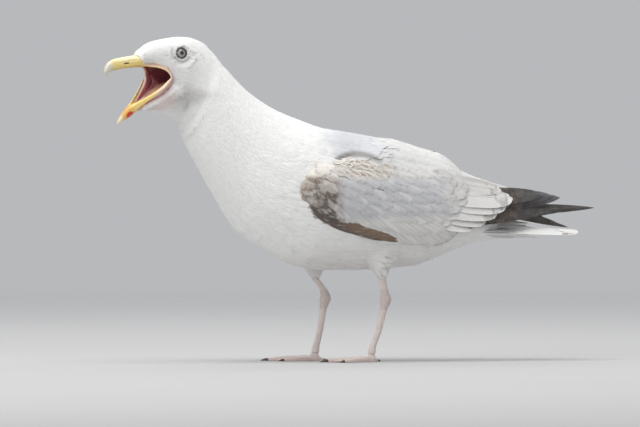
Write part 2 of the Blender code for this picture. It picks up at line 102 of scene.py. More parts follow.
# Camera and light, lengths in metres
viewLook = {
    "azimuth": -14.0,
    "elevation": 0.8,
    "distance": 12.0,
    "aim": (-0.026, 0.0065, 0.1628),
    "pictureWidth": 0.704,          # what the picture spans at the bird, in metres
    "sensor": 36.0,
}


def makeCamera():
    turn = math.radians(viewLook["azimuth"])
    tilt = math.radians(viewLook["elevation"])
    back = Vector((math.sin(turn) * math.cos(tilt), -math.cos(turn) * math.cos(tilt),
                   math.sin(tilt)))
    camera = bpy.data.objects.new("camera", bpy.data.cameras.new("camera"))
    camera.location = Vector(viewLook["aim"]) + back * viewLook["distance"]
    camera.rotation_mode = "QUATERNION"
    camera.rotation_quaternion = (-back).to_track_quat("-Z", "Y")
    camera.data.sensor_width = viewLook["sensor"]
    camera.data.lens = viewLook["sensor"] * viewLook["distance"] / viewLook["pictureWidth"]
    camera.data.clip_start = 1.0
    camera.data.clip_end = 100.0
    bpy.context.scene.collection.objects.link(camera)
    bpy.context.scene.camera = camera


lightLook = {
    "world": (0.48, 0.485, 0.50),
    "worldStrength": 1.0,
    # name: place, size, power, colour
    "lamps": {
        "skyLight": ((-0.4, -0.5, 3.2), 2.4, 80.0, (1.0, 0.99, 0.97)),
        "frontLight": ((-2.8, -2.2, 1.9), 1.8, 39.0, (1.0, 0.99, 0.97)),
        "rimLight": ((0.6, 2.6, 2.8), 2.0, 30.0, (0.97, 0.98, 1.0)),
    },
}


def makeLights():
    world = bpy.data.worlds.new("studio")
    bpy.context.scene.world = world
    world.use_nodes = True
    sky = world.node_tree.nodes["Background"]
    sky.inputs["Color"].default_value = (*lightLook["world"], 1)
    sky.inputs["Strength"].default_value = lightLook["worldStrength"]
    bpy.context.scene.view_settings.view_transform = "Standard"
    target = Vector(viewLook["aim"])
    for name, (place, size, power, colour) in lightLook["lamps"].items():
        lamp = bpy.data.lights.new(name, "AREA")
        lamp.size = size
        lamp.energy = power
        lamp.color = colour
        holder = bpy.data.objects.new(name, lamp)
        holder.location = place
        holder.rotation_euler = (target - holder.location).to_track_quat("-Z", "Y").to_euler()
        holder.visible_camera = False
        bpy.context.scene.collection.objects.link(holder)


# Nodes written as expressions
class Wire:
    # an output socket; sums written with it become Math nodes
    def __init__(self, owner, socket):
        self.owner = owner
        self.socket = socket

    def math(self, operation, *others):
        inputs = {i + 1: other for i, other in enumerate(others)}
        return self.owner.node("ShaderNodeMath", {"operation": operation}, {0: self, **inputs})

    def __add__(self, other):
        return self.math("ADD", other)

    def __sub__(self, other):
        return self.math("SUBTRACT", other)

    def __mul__(self, other):
        return self.math("MULTIPLY", other)

    def __truediv__(self, other):
        return self.math("DIVIDE", other)

    def __rsub__(self, other):
        return self.math("MULTIPLY_ADD", -1.0, other)

    def __rtruediv__(self, other):
        return self.math("POWER", -1.0) * other

    def __neg__(self):
        return self.math("MULTIPLY", -1.0)

    __radd__ = __add__
    __rmul__ = __mul__

    def step(self, low, high):
        # 0 at low and 1 at high, smooth between; low may be the larger one
        made = self.owner.node("ShaderNodeMapRange", {"interpolation_type": "SMOOTHSTEP"}, {
            "Value": self, "From Min": min(low, high), "From Max": max(low, high)})
        return made if low < high else 1 - made

    def band(self, low, high, soft):
        # 1 between low and high, fading over soft outside both ends
        return self.step(low - soft, low) * self.step(high + soft, high)


class NodeMaker:
    # adds a node of any type to its tree: settings first, then values or links
    def node(self, kind, settings=None, inputs=None, output=0):
        made = self.tree.nodes.new(kind)
        for key, value in (settings or {}).items():
            if key == "stops":
                stops = made.color_ramp.elements
                while len(stops) < len(value):
                    stops.new(0.5)
                for stop, (place, colour) in zip(stops, value):
                    stop.position = place
                    stop.color = (*colour, 1)
            else:
                setattr(made, key, value)
        for key, value in (inputs or {}).items():
            socket = made.inputs[key]
            if isinstance(value, Wire):
                self.tree.links.new(value.socket, socket)
            elif socket.type == "RGBA":
                socket.default_value = (*value, 1)
            else:
                socket.default_value = value
        return Wire(self, made.outputs[output])


class Paint(NodeMaker):
    # a Principled material and the nodes that feed it
    def __init__(self, name, **constants):
        self.material = bpy.data.materials.new(name)
        self.material.use_nodes = True
        self.tree = self.material.node_tree
        self.shader = self.tree.nodes["Principled BSDF"]
        for socket, value in constants.items():
            self.shader.inputs[socket.replace("_", " ")].default_value = value

    def place(self):
        return self.node("ShaderNodeTexCoord", output="Object")

    def placeIn(self, matrix):
        # x, y and z in millimetres in the matrix's own axes
        place = self.place()
        inverse = matrix.inverted()
        found = []
        for row in range(3):
            axis = tuple(inverse[row][i] / mm for i in range(3))
            along = self.node("ShaderNodeVectorMath", {"operation": "DOT_PRODUCT"},
                              {0: place, 1: axis}, "Value")
            found.append(along + inverse[row][3] / mm)
        return found

    def attribute(self, name):
        return self.node("ShaderNodeAttribute", {"attribute_name": name}, output="Fac")

    def noise(self, scale, detail, at=None, roughness=0.5):
        return self.node("ShaderNodeTexNoise", {}, {
            "Vector": at or self.place(), "Scale": scale, "Detail": detail,
            "Roughness": roughness}, "Fac")

    def stretched(self, scale):
        # object coordinates scaled by axis, for streaks
        return self.node("ShaderNodeVectorMath", {"operation": "MULTIPLY"},
                         {0: self.place(), 1: scale})

    def mix(self, mask, first, second):
        # first where the mask is 0, second where it is 1
        return self.node("ShaderNodeMix", {"data_type": "RGBA"},
                         {0: mask, 6: first, 7: second}, 2)

    def shade(self, colour, factor):
        # the colour made lighter or darker by a factor that may vary
        return self.node("ShaderNodeVectorMath", {"operation": "SCALE"},
                         {0: colour, "Scale": factor})

    def bump(self, height, depth, strength):
        return self.node("ShaderNodeBump", {}, {
            "Height": height, "Distance": depth, "Strength": strength})

    def finish(self, **links):
        for socket, value in links.items():
            target = self.shader.inputs[socket.replace("_", " ")]
            self.tree.links.new(value.socket, target)
        return self.material


class Layout(NodeMaker):
    # a Geometry Nodes tree with named inputs
    def __init__(self, name, inputs):
        self.tree = bpy.data.node_groups.new(name, "GeometryNodeTree")
        face = self.tree.interface
        face.new_socket("Geometry", in_out="INPUT", socket_type="NodeSocketGeometry")
        for key, kind in inputs.items():
            face.new_socket(key, in_out="INPUT", socket_type="NodeSocket" + kind)
        face.new_socket("Geometry", in_out="OUTPUT", socket_type="NodeSocketGeometry")
        self.start = self.tree.nodes.new("NodeGroupInput")
        self.end = self.tree.nodes.new("NodeGroupOutput")

    def input(self, name):
        return Wire(self, self.start.outputs[name])

    def named(self, name, kind="FLOAT"):
        return self.node("GeometryNodeInputNamedAttribute", {"data_type": kind}, {"Name": name})

    def store(self, geometry, name, value):
        # one number for each instance
        return self.node("GeometryNodeStoreNamedAttribute",
                         {"data_type": "FLOAT", "domain": "INSTANCE"},
                         {"Geometry": geometry, "Name": name, "Value": value})

    def random(self, low, high, seed):
        return self.node("FunctionNodeRandomValue", {"data_type": "FLOAT"},
                         {2: low, 3: high, "Seed": seed}, 1)

    def close(self, geometry):
        self.tree.links.new(geometry.socket, self.end.inputs[0])

    def run(self, piece, values):
        # the tree's result on a piece, as a plain mesh
        step = piece.modifiers.new("layout", "NODES")
        step.node_group = self.tree
        for item in self.tree.interface.items_tree:
            if item.in_out == "INPUT" and item.name in values:
                step[item.identifier] = values[item.name]
        bpy.context.view_layer.update()
        graph = bpy.context.evaluated_depsgraph_get()
        mesh = bpy.data.meshes.new_from_object(piece.evaluated_get(graph))
        piece.modifiers.remove(step)
        return mesh


# The skin
skinLook = {
    "voxel": 1.15 * mm,
    "closeGaps": 0.35 * mm,     # solids are swollen by this to close their gaps
    "keptFaces": 0.34,
    "smoothing": 26,
    "headSmoothing": 7,
    "headEdge": (-24, -4),      # where the head's finer mesh begins, in mm
    "backSmoothing": 260,       # more where the scapulars run on over the wing
    "back": {"x": (-16, 18, 88, 108), "z": (198, 214)},
    "groinSmoothing": 70,       # and where the thighs leave the belly
    "groin": {"x": (12, 30, 78, 98), "z": (91, 98, 114, 132)},
    "fill": ((80, 0, 228), (12, 6, 8)),     # closes the pit between the wings, in mm
    "overBill": 1.8,            # how far the brow's edge laps over the bill, in mm
    "flesh": ["head", "neck", "trunk", "thigh_left", "thigh_right", "wing_left", "wing_right"],
}


def copyOfNodes(names, swell=0.0):
    # one mesh of several solids, each merged, and swollen along its normals
    joined = bmesh.new()
    for name in names:
        single = bmesh.new()
        single.from_mesh(nodes[name].data)
        bmesh.ops.remove_doubles(single, verts=single.verts, dist=0.00001)
        single.normal_update()
        for vertex, normal in [(v, v.normal.copy()) for v in single.verts]:
            vertex.co += normal * swell
        merged = meshFrom(single, "merged")
        joined.from_mesh(merged)
        bpy.data.meshes.remove(merged)
    return meshFrom(joined, "joined")


def meshFrom(work, name):
    # the plain mesh of a bmesh, which ends with it
    made = bpy.data.meshes.new(name)
    work.to_mesh(made)
    work.free()
    return made


def turnOutward(mesh):
    work = bmesh.new()
    work.from_mesh(mesh)
    bmesh.ops.recalc_face_normals(work, faces=work.faces)
    work.to_mesh(mesh)
    work.free()
    mesh.shade_smooth()


def mirrored(place, side):
    # a place in mm, given for the right side, on the side asked for, in metres
    return Vector((place[0], side * place[1], place[2])) * mm


def ridesOnBody(piece):
    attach(piece, "root")
    return piece


def newObject(name, mesh, material=None):
    mesh.name = name
    made = bpy.data.objects.new(name, mesh)
    bpy.context.scene.collection.objects.link(made)
    if material:
        mesh.materials.clear()
        mesh.materials.append(material)
    return made


def applied(piece):
    # the piece's modifiers turned into its mesh
    bpy.context.view_layer.update()
    graph = bpy.context.evaluated_depsgraph_get()
    mesh = bpy.data.meshes.new_from_object(piece.evaluated_get(graph))
    piece.modifiers.clear()
    piece.data = mesh
    mesh.name = piece.name
    return piece


def remeshed(name, mesh, voxel):
    piece = newObject(name, mesh)
    step = piece.modifiers.new("remesh", "REMESH")
    step.mode = "VOXEL"
    step.voxel_size = voxel
    return applied(piece)


def pointsOf(mesh):
    found = np.empty(len(mesh.vertices) * 3)
    mesh.vertices.foreach_get("co", found)
    return found.reshape(-1, 3)


def setPoints(mesh, points):
    mesh.vertices.foreach_set("co", np.ascontiguousarray(points, dtype=float).ravel())
    mesh.update()


def normalsOf(mesh):
    found = np.empty(len(mesh.vertices) * 3)
    mesh.vertex_normals.foreach_get("vector", found)
    return found.reshape(-1, 3)


def edgesOf(mesh):
    found = np.empty(len(mesh.edges) * 2, dtype=int)
    mesh.edges.foreach_get("vertices", found)
    return found.reshape(-1, 2)


def cornersOf(mesh):
    # the point that each face corner stands on
    found = np.empty(len(mesh.loops), dtype=int)
    mesh.loops.foreach_get("vertex_index", found)
    return found


def smoothed(values, edges, steps, share=0.5):
    # each value moves towards the mean of its neighbours; share may vary by vertex
    first, second = edges.T
    count = np.bincount(edges.ravel(), minlength=len(values)).astype(float)
    shape = (len(values),) + (1,) * (values.ndim - 1)
    keep = np.broadcast_to(np.asarray(share, float).reshape(-1, *shape[1:]), shape)
    for _ in range(steps):
        total = np.zeros_like(values)
        if values.ndim == 1:
            total += np.bincount(first, values[second], len(values))
            total += np.bincount(second, values[first], len(values))
        else:
            for k in range(values.shape[1]):
                total[:, k] += np.bincount(first, values[second, k], len(values))
                total[:, k] += np.bincount(second, values[first, k], len(values))
        values = values + keep * (total / np.maximum(count, 1).reshape(shape) - values)
    return values


def treeOf(mesh):
    corners = [tuple(v.co) for v in mesh.vertices]
    faces = [tuple(p.vertices) for p in mesh.polygons]
    return BVHTree.FromPolygons(corners, faces)


def makeSkin():
    flesh = copyOfNodes(skinLook["flesh"], skinLook["closeGaps"])
    filled = bmesh.new()
    filled.from_mesh(flesh)
    centre, radii = (Vector(part) * mm for part in skinLook["fill"])
    bmesh.ops.create_uvsphere(filled, u_segments=24, v_segments=16, radius=1, matrix=(
        Matrix.Translation(centre) @ Matrix.Diagonal((*radii, 1))))
    filled.to_mesh(flesh)
    filled.free()
    skin = remeshed("skin", flesh, skinLook["voxel"])
    mesh = skin.data
    edges = edgesOf(mesh)
    points = smoothed(pointsOf(mesh), edges, skinLook["headSmoothing"])
    inHead = ramp(local(points, headFrame)[:, 0], *skinLook["headEdge"])
    points = smoothed(points, edges, skinLook["smoothing"], 0.5 * (1 - inHead))
    x, _, z = (points / mm).T
    back = plateau(x, *skinLook["back"]["x"]) * ramp(z, *skinLook["back"]["z"])
    points = smoothed(points, edges, skinLook["backSmoothing"], 0.5 * back)
    x, _, z = (points / mm).T
    groin = plateau(x, *skinLook["groin"]["x"]) * plateau(z, *skinLook["groin"]["z"])
    points = smoothed(points, edges, skinLook["groinSmoothing"], 0.5 * groin)
    headX, _, headZ = local(points, headFrame).T
    over = skinLook["overBill"] * ramp(headX, 36, 43) * ramp(headZ, -10, -6) * mm
    points += over[:, None] * np.array(headFrame.to_3x3() @ Vector((1, 0, 0)))
    setPoints(mesh, points)
    weights = skin.vertex_groups.new(name="coarse")
    for level in (0.0, 0.5, 1.0):
        chosen = np.flatnonzero(np.abs((1 - inHead) - level) <= 0.25)
        weights.add(chosen.tolist(), max(level, 0.02), "REPLACE")
    thin = skin.modifiers.new("thin", "DECIMATE")
    thin.ratio = skinLook["keptFaces"]
    thin.vertex_group = "coarse"
    applied(skin)
    skin.vertex_groups.clear()
    return skin


skin = makeSkin()
print("skin made:", len(skin.data.vertices), "points")


# Fields over the skin: its regions, the lie of the feathers and their depth
def millimetres(points):
    return points[:, 0] / mm, points[:, 1] / mm, points[:, 2] / mm


eyeLook = {
    "gazeForward": 17.0,       # degrees ahead of straight sideways
    "gazeDown": -8.0,
    "iris": 4.75, "pupil": 1.95, "bulge": 0.45,
    "lidLong": 5.15, "lidHigh": 4.75,    # half opening of the lids
    "ring": 6.8,               # outer radius of the dark ring of the lids
}


def eyeFrame(label):
    # axes at the eye's centre: z along the gaze, y upwards
    side = -sides[label]
    forward = math.radians(eyeLook["gazeForward"])
    down = math.radians(eyeLook["gazeDown"])
    gaze = Vector((math.sin(forward) * math.cos(down), side * math.cos(forward) * math.cos(down),
                   -math.sin(down)))
    gaze = (headFrame.to_3x3() @ gaze).normalized()
    up = headFrame.to_3x3() @ Vector((0, 0, 1))
    up = (up - gaze * up.dot(gaze)).normalized()
    across = up.cross(gaze)
    turn = Matrix((across, up, gaze)).transposed().to_4x4()
    return Matrix.Translation(eyeMiddle(label)) @ turn


def roundEyes(points):
    # for each eye: distance from the gaze axis, height along it, direction away from it
    for label in sides:
        place = eyeFrame(label)
        x, y, z = local(points, place).T
        axes = np.array(place)[:3, :3]
        away = unit(np.stack([x, y], axis=1)) @ axes[:, :2].T
        yield np.hypot(x, y), z, away


seatLook = {"reach": 15.0, "rim": 7.3, "height": 5.2, "fall": 0.22}


def seatEyes():
    # the skin brought level with the lids all round each eye
    mesh = skin.data
    points = pointsOf(mesh)
    for label, (off, height, _) in zip(sides, roundEyes(points)):
        gaze = np.array(eyeFrame(label))[:3, 2]
        level = seatLook["height"] - seatLook["fall"] * np.maximum(off - seatLook["rim"], 0)
        near = ramp(off, seatLook["reach"], seatLook["rim"]) * (height > -3) * (off > 6.2)
        points += ((level - height) * near * mm)[:, None] * gaze
        around = ramp(off, 16, 13) * (height > -3) * (off > 7)
        points = smoothed(points, edgesOf(mesh), 6, 0.5 * around)
    setPoints(mesh, points)


seatEyes()

# The body's middle line from the bill to the tail, millimetres
spine = [(-235, -25, 330), (-199, -8, 334), (-172, -2, 302), (-150, 0, 264), (-132, 0, 232),
         (-105, 0, 205), (-60, 0, 188), (0, 0, 178), (80, 0, 166), (150, 0, 153), (200, 0, 146)]
scapularEdge = [(-70, 233), (-45, 230), (-25, 228), (0, 228), (25, 224), (60, 216),
                (90, 208), (115, 200), (140, 192), (165, 186), (200, 184)]


def edgeHeight(x):
    # z of the scapulars' lower border over the wing at x
    return np.interp(x, [p[0] for p in scapularEdge], [p[1] for p in scapularEdge])


def spineDirection(points):
    path = np.array(spine, float)
    middles = (path[1:] + path[:-1]) / 2
    along = unit(path[1:] - path[:-1])
    gap = np.linalg.norm(points[:, None, :] / mm - middles[None], axis=2)
    weight = gap ** -5.0
    return unit((weight[..., None] * along[None]).sum(1))


def wingDirection(points):
    # down and back, steepest over the secondaries
    x, _, z = millimetres(points)
    steep = 30 + 30 * ramp(z, 222, 190) * ramp(x, 170, 90) * ramp(x, -45, -5)
    angle = np.radians(steep)
    return np.stack([np.cos(angle), np.zeros(len(x)), -np.sin(angle)], axis=1)


def behindThigh(points, normals):
    # the rear of each thigh and the belly's skin beside it
    x, _, z = millimetres(points)
    low = ramp(z, 128, 118) * ramp(x, -45, -35) * ramp(x, 105, 92)
    return low * ramp(normals[:, 0], 0.22, 0.5)


def lieOver(points, normals, wing):
    # which way the feathers point: away from the bill, along the body, down the legs
    away = points - np.array(headFrame @ Vector((44 * mm, 0, -4 * mm)))
    headX = local(points, headFrame)[:, 0]
    lie = spineDirection(points)
    near = ramp(headX, -34, 6)[:, None]
    lie = lie * (1 - near) + unit(away) * near
    lie = lie * (1 - wing[:, None]) + wingDirection(points) * wing[:, None]
    z = points[:, 2] / mm
    leg = np.maximum(ramp(z, 112, 100), behindThigh(points, normals))[:, None]
    lie = lie * (1 - leg) + np.array([0.25, 0, -1.0]) * leg
    lie -= normals * (lie * normals).sum(1, keepdims=True)
    return unit(lie)


def selfFacing(points, normals, tree, reach):
    # 1 where a wall looks at other walls of the same animal, as inside the mouth
    found = np.zeros(len(points))
    for i, (point, normal) in enumerate(zip(points, normals)):
        start = Vector(point + normal * 0.3 * mm)
        straight = Vector(normal)
        aside = straight.orthogonal().normalized()
        across = straight.cross(aside)
        looks = [straight, straight + aside * 0.7, straight - aside * 0.7,
                 straight + across * 0.7, straight - across * 0.7]
        hits = sum(1 for look in looks if tree.ray_cast(start, look.normalized(), reach)[0])
        found[i] = hits >= 3 or bool(tree.ray_cast(start, straight, reach)[0])
    return found


def pathDistance(points, edges, chosen, reach):
    # distance along the surface from the chosen points, up to a reach in mm
    first, second = edges.T
    length = np.linalg.norm(points[first] - points[second], axis=1) / mm
    found = np.where(chosen, 0.0, 2.0 * reach)
    for _ in range(30):
        np.minimum.at(found, first, found[second] + length)
        np.minimum.at(found, second, found[first] + length)
    return found


# How deep the coat is, so how far the skin lies inside the solids, mm
depthLook = {"face": 0.7, "head": 1.2, "neck": 1.6, "body": 1.8, "vent": -1.2, "wing": 2.1,
             "leg": 1.4}
# The fold between the mantle and the folded wing's small coverts, where the skin sinks and the
# mantle carries painted shade, mm
creaseLook = {"top": 228.5, "drop": 8.0, "half": 6.0, "deep": 1.8}
# The mouth and its bare rim, mm in the head's axes
mouthLook = {
    "back": -22, "opening": 44,             # where it may begin, and its widest gap
    "throat": (-44, 20),                    # outside below this z and behind this x
    "brow": (34, -8.5),                     # outside ahead of this x and above this z
    "eyes": (22, -1, -13),                  # round the eyes: reach, height, lowest z
    "sockets": (9.5, -7),                   # inside the sockets: reach, height
    "roof": ((-6, 42), (-34, -9), 10),      # the palate: x, z and half width
    "rim": {"least": 1.8, "corner": 5.2, "jaw": 2.8, "soft": 0.8},
}


def mouthField(points, normals, edges):
    # 1 inside the mouth, where its walls look at each other, put right at its edges with the listed
    # bounds
    headX, headY, headZ = local(points, headFrame).T
    ahead = np.flatnonzero(headX > mouthLook["back"])
    walls = treeOf(copyOfNodes(["head", "bill_upper", "bill_lower", "tongue", "eye_left",
                                "eye_right"]))
    mouth = np.zeros(len(points))
    mouth[ahead] = selfFacing(points[ahead], normals[ahead], walls, mouthLook["opening"] * mm)
    throatZ, throatX = mouthLook["throat"]
    mouth[(headZ < throatZ) & (headX < throatX)] = 0
    browX, browZ = mouthLook["brow"]
    mouth[(headX > browX) & (headZ > browZ)] = 0
    eyeReach, eyeHeight, eyeFloor = mouthLook["eyes"]
    socketReach, socketHeight = mouthLook["sockets"]
    for off, height, _ in roundEyes(points):
        mouth[(off < eyeReach) & (height > eyeHeight) & (headZ > eyeFloor)] = 0
        mouth[(off < socketReach) & (height > socketHeight)] = 0
    (back, front), (low, high), half = mouthLook["roof"]
    roof = (headX > back) & (headX < front) & (headZ < high) & (headZ > low)
    mouth[roof & (np.abs(headY) < half)] = 1
    return (smoothed(mouth, edges, 6) > 0.5).astype(float)


def rimField(points, edges, mouth):
    # the bare rim, widest at the corner of the gape
    rim = mouthLook["rim"]
    headX, _, headZ = local(points, headFrame).T
    jawX, _, jawZ = local(points, jawFrame).T
    reach = pathDistance(points, edges, mouth > 0.5, 14)
    wide = rim["least"] + rim["corner"] * ramp(headX, 16, 4) * ramp(headZ, -48, -36)
    below = rim["jaw"] * ramp(jawZ, 2, -4) * ramp(jawX, 24, 36) * (headZ < -20)
    wide = np.maximum(wide, below)
    return ramp(reach, wide + rim["soft"], wide - rim["soft"])


def wingField(points, edges):
    # 1 where the skin lies on a wing's own solid
    x, y, _ = millimetres(points)
    wing = np.zeros(len(points))
    for label, side in sides.items():
        tree = treeOf(copyOfNodes([f"wing_{label}"]))
        for i in np.flatnonzero((x > -70) & (y * side > -1)):
            if tree.find_nearest(Vector(points[i]), 2.2 * mm)[0]:
                wing[i] = 1
    return np.clip(smoothed(wing, edges, 4), 0, 1)


def roundLids(points, lie):
    # what the lids cover, and the strip of the smallest feathers round them
    covered = np.zeros(len(points))
    strip = np.zeros(len(points))
    for off, height, outward in roundEyes(points):
        behind = (lie * outward).sum(1)
        clear = eyeLook["ring"] + 0.3 - 0.3 * behind
        covered = np.maximum(covered, ramp(off, clear + 0.2, clear - 0.2) * (height > 0))
        wide = eyeLook["ring"] + 1.3 - 1.0 * behind
        strip = strip + ramp(off, wide + 0.3, wide - 0.3) * (height > 0)
    return covered, np.clip(strip, 0, 1)


# Where each piece of the coat begins and ends, mm: along the head's x, the body's x, or z
borders = {
    "headFront": (2, 20), "headRear": (-44, -30), "neckRear": (-60, -95), "leg": (106, 98),
    "bodyRear": (150, 135), "ventFront": (118, 132), "ventRear": (172, 160),
    "mantleRear": (102, 90), "bendRear": (6, -12), "thighCut": 96, "billRoot": 36,
}


def coatFields(fields, points, normals):
    # one mask for each piece of the coat
    headX = local(points, headFrame)[:, 0]
    x, _, z = millimetres(points)
    covered, strip = roundLids(points, fields["lie"])
    forward = normals @ np.array(headFrame.to_3x3() @ Vector((1, 0, 0)))
    bare = np.maximum.reduce([
        fields["mouth"], fields["rim"], covered,
        ramp(-normals[:, 2], 0.93, 0.98) * (z < borders["thighCut"]),
        ramp(forward, 0.55, 0.8) * (headX > borders["billRoot"])])
    feathered = ramp(bare, 0.75, 0.35)
    saddle = fields["saddle"]
    front = ramp(headX, *borders["headFront"])
    onHead = ramp(headX, *borders["headRear"])
    nape = 1 - onHead
    onNeck = ramp(x, *borders["neckRear"])
    onLeg = ramp(z, *borders["leg"])
    rearward = behindThigh(points, normals)
    notWing = 1 - ramp(fields["wing"], 0.4, 0.9)
    body = nape * (1 - onNeck) * notWing * (1 - onLeg)
    bodyEnd = ramp(x, *borders["bodyRear"])
    vent = nape * (1 - fields["wing"]) * ramp(x, *borders["ventFront"]) * (z > 100)
    bend = ramp(fields["wing"], 0.2, 0.5)
    return {
        "eyeMask": feathered * strip,
        "faceMask": feathered * front * (1 - strip),
        "headMask": feathered * (onHead * (1 - front)) * (1 - strip),
        "neckMask": feathered * (nape * onNeck * notWing),
        "bodyMask": feathered * body * (1 - saddle) * bodyEnd * (1 - rearward),
        "ventMask": feathered * vent * ramp(x, *borders["ventRear"]),
        "thighMask": feathered * np.maximum(onLeg, rearward * notWing),
        "mantleMask": feathered * saddle * ramp(x, *borders["mantleRear"]),
        "bendMask": (1 - saddle) * bend * ramp(x, *borders["bendRear"]),
    }


def depthField(fields, points, normals, edges):
    headX = local(points, headFrame)[:, 0]
    x, _, z = millimetres(points)
    below = ramp(x, 45, 85) * ramp(-normals[:, 2], -0.1, 0.5) * ramp(x, 180, 165)
    depth = depthLook["neck"] + (depthLook["body"] - depthLook["neck"]) * ramp(x, -100, -40)
    for region, mask in (("vent", below), ("head", ramp(headX, -50, -30)),
                         ("face", ramp(headX, 0, 22)), ("wing", fields["wing"]),
                         ("leg", ramp(z, *borders["leg"]))):
        depth = depth + (depthLook[region] - depth) * mask
    depth *= 1 - ramp(fields["mouth"], 0.2, 0.8)
    arch = np.abs(z - creaseLook["top"] + creaseLook["drop"] * ((x - 1) / 25) ** 2)
    depth += creaseLook["deep"] * ramp(arch, creaseLook["half"], 0) * ramp(np.abs(x), 34, 22)
    return smoothed(depth, edges, 6)


def makeFields():
    mesh = skin.data
    points, normals, edges = pointsOf(mesh), normalsOf(mesh), edgesOf(mesh)
    x, _, z = millimetres(points)
    mouth = mouthField(points, normals, edges)
    wing = wingField(points, edges)
    fields = {
        "mouth": np.clip(smoothed(mouth, edges, 3), 0, 1),
        "wing": wing,
        "lie": lieOver(points, normals, wing),
        "rim": rimField(points, edges, mouth),
        "saddle": ramp(z - edgeHeight(x), -3, 1) * ramp(x, -52, -40),
    }
    fields.update(coatFields(fields, points, normals))
    fields["depth"] = depthField(fields, points, normals, edges)
    return fields


fields = makeFields()


def insetSkin():
    mesh = skin.data
    points = pointsOf(mesh)
    normals = normalsOf(mesh)
    setPoints(mesh, points - normals * (fields["depth"] * mm)[:, None])
    for name, values in fields.items():
        kind = "FLOAT_VECTOR" if values.ndim == 2 else "FLOAT"
        layer = mesh.attributes.new(name, kind, "POINT")
        layer.data.foreach_set("vector" if kind == "FLOAT_VECTOR" else "value",
                               np.ascontiguousarray(values, dtype=float).ravel())
    mesh.shade_smooth()


insetSkin()
skinTree = treeOf(skin.data)
print("fields made")


# An unwrap of the skin's shape, where every tuft has its patch of colour
unwrapLook = {"voxel": 4.5 * mm, "angle": 66.0, "margin": 0.004, "patch": 0.003,
              "cellMargin": 0.06}


def makeUnwrap():
    plain = remeshed("unwrap", skin.data.copy(), unwrapLook["voxel"])
    bpy.context.view_layer.objects.active = plain
    plain.select_set(True)
    bpy.ops.object.mode_set(mode="EDIT")
    bpy.ops.mesh.select_all(action="SELECT")
    bpy.ops.uv.smart_project(angle_limit=math.radians(unwrapLook["angle"]),
                             island_margin=unwrapLook["margin"])
    bpy.ops.object.mode_set(mode="OBJECT")
    mesh = plain.data
    flat = np.empty(len(mesh.loops) * 2)
    mesh.uv_layers.active.data.foreach_get("uv", flat)
    flat = flat.reshape(-1, 2)
    tree = treeOf(mesh)
    faces = [(tuple(p.loop_indices), [Vector(mesh.vertices[v].co) for v in p.vertices])
             for p in mesh.polygons]
    bpy.data.objects.remove(plain, do_unlink=True)
    return flat, tree, faces


unwrapUv, unwrapTree, unwrapFaces = makeUnwrap()


def unwrapPlaces(points):
    # where each point of the skin lies on the unwrap
    found = np.zeros((len(points), 2))
    for i, point in enumerate(points):
        near, _, face, _ = unwrapTree.find_nearest(Vector(point))
        loops, corners = unwrapFaces[face]
        pull = np.array([1 / max((near - corner).length, 1e-7) ** 2 for corner in corners])
        found[i] = (unwrapUv[list(loops)] * pull[:, None]).sum(0) / pull.sum()
    return found


def addBakeMap(mesh, roots, blockSize):
    # every tuft is one block of points; its own vane map shrinks to a patch at its root
    vane = np.empty(len(mesh.loops) * 2)
    mesh.uv_layers["vane"].data.foreach_get("uv", vane)
    places = unwrapPlaces(roots)[cornersOf(mesh) // blockSize]
    spread = (vane.reshape(-1, 2) - 0.5) * unwrapLook["patch"]
    mesh.uv_layers.new(name="OFBake").data.foreach_set("uv", (places + spread).ravel())


print("unwrap made:", len(unwrapFaces), "faces")


# One vane, the shape that small feathers share
def vaneMesh(name, look):
    # a closed leaf along +Y with a ridge, unit length and width, and a vane map
    rows = look["rows"]               # distance along, half width, ridge height
    mesh = bmesh.new()
    vaneMap = mesh.loops.layers.uv.new("vane")
    rings = []
    for along, half, rise in rows:
        sag = look["droop"] * along * along
        low = rise - look["thickness"] * (1.15 - along)
        across = ((-half, -look["cup"] * half), (0, 0), (half, -look["cup"] * half), (0, None))
        ring = []
        for sideways, height in across:
            level = low if height is None else rise + height
            ring.append((mesh.verts.new((sideways, along, level - sag)), sideways, along))
        rings.append(ring)
    count = 4
    for near, far in zip(rings, rings[1:]):
        for i in range(count):
            j = (i + 1) % count
            corners = (near[i], near[j], far[j], far[i])
            face = mesh.faces.new([c[0] for c in corners])
            for loop, (_, sideways, along) in zip(face.loops, corners):
                loop[vaneMap].uv = (0.5 + sideways, along)
    for ring in (rings[0], rings[-1]):
        face = mesh.faces.new([c[0] for c in ring])
        for loop, (_, sideways, along) in zip(face.loops, ring):
            loop[vaneMap].uv = (0.5 + sideways, along)
    bmesh.ops.recalc_face_normals(mesh, faces=mesh.faces)
    made = meshFrom(mesh, name)
    made.shade_smooth()
    made.set_sharp_from_angle(angle=math.radians(60))
    piece = newObject(name, made)
    piece.hide_render = True
    return piece


roundVane = vaneMesh("roundVane", {
    "rows": [(0.0, 0.10, 0.00), (0.25, 0.36, 0.03), (0.55, 0.50, 0.045), (0.80, 0.43, 0.04),
             (0.94, 0.26, 0.03), (1.0, 0.06, 0.02)],
    "droop": 0.10, "thickness": 0.05, "cup": 0.12})
looseVane = vaneMesh("looseVane", {
    "rows": [(0.0, 0.10, 0.00), (0.30, 0.34, 0.03), (0.60, 0.44, 0.04), (0.82, 0.33, 0.035),
             (1.0, 0.05, 0.02)],
    "droop": 0.12, "thickness": 0.06, "cup": 0.16})


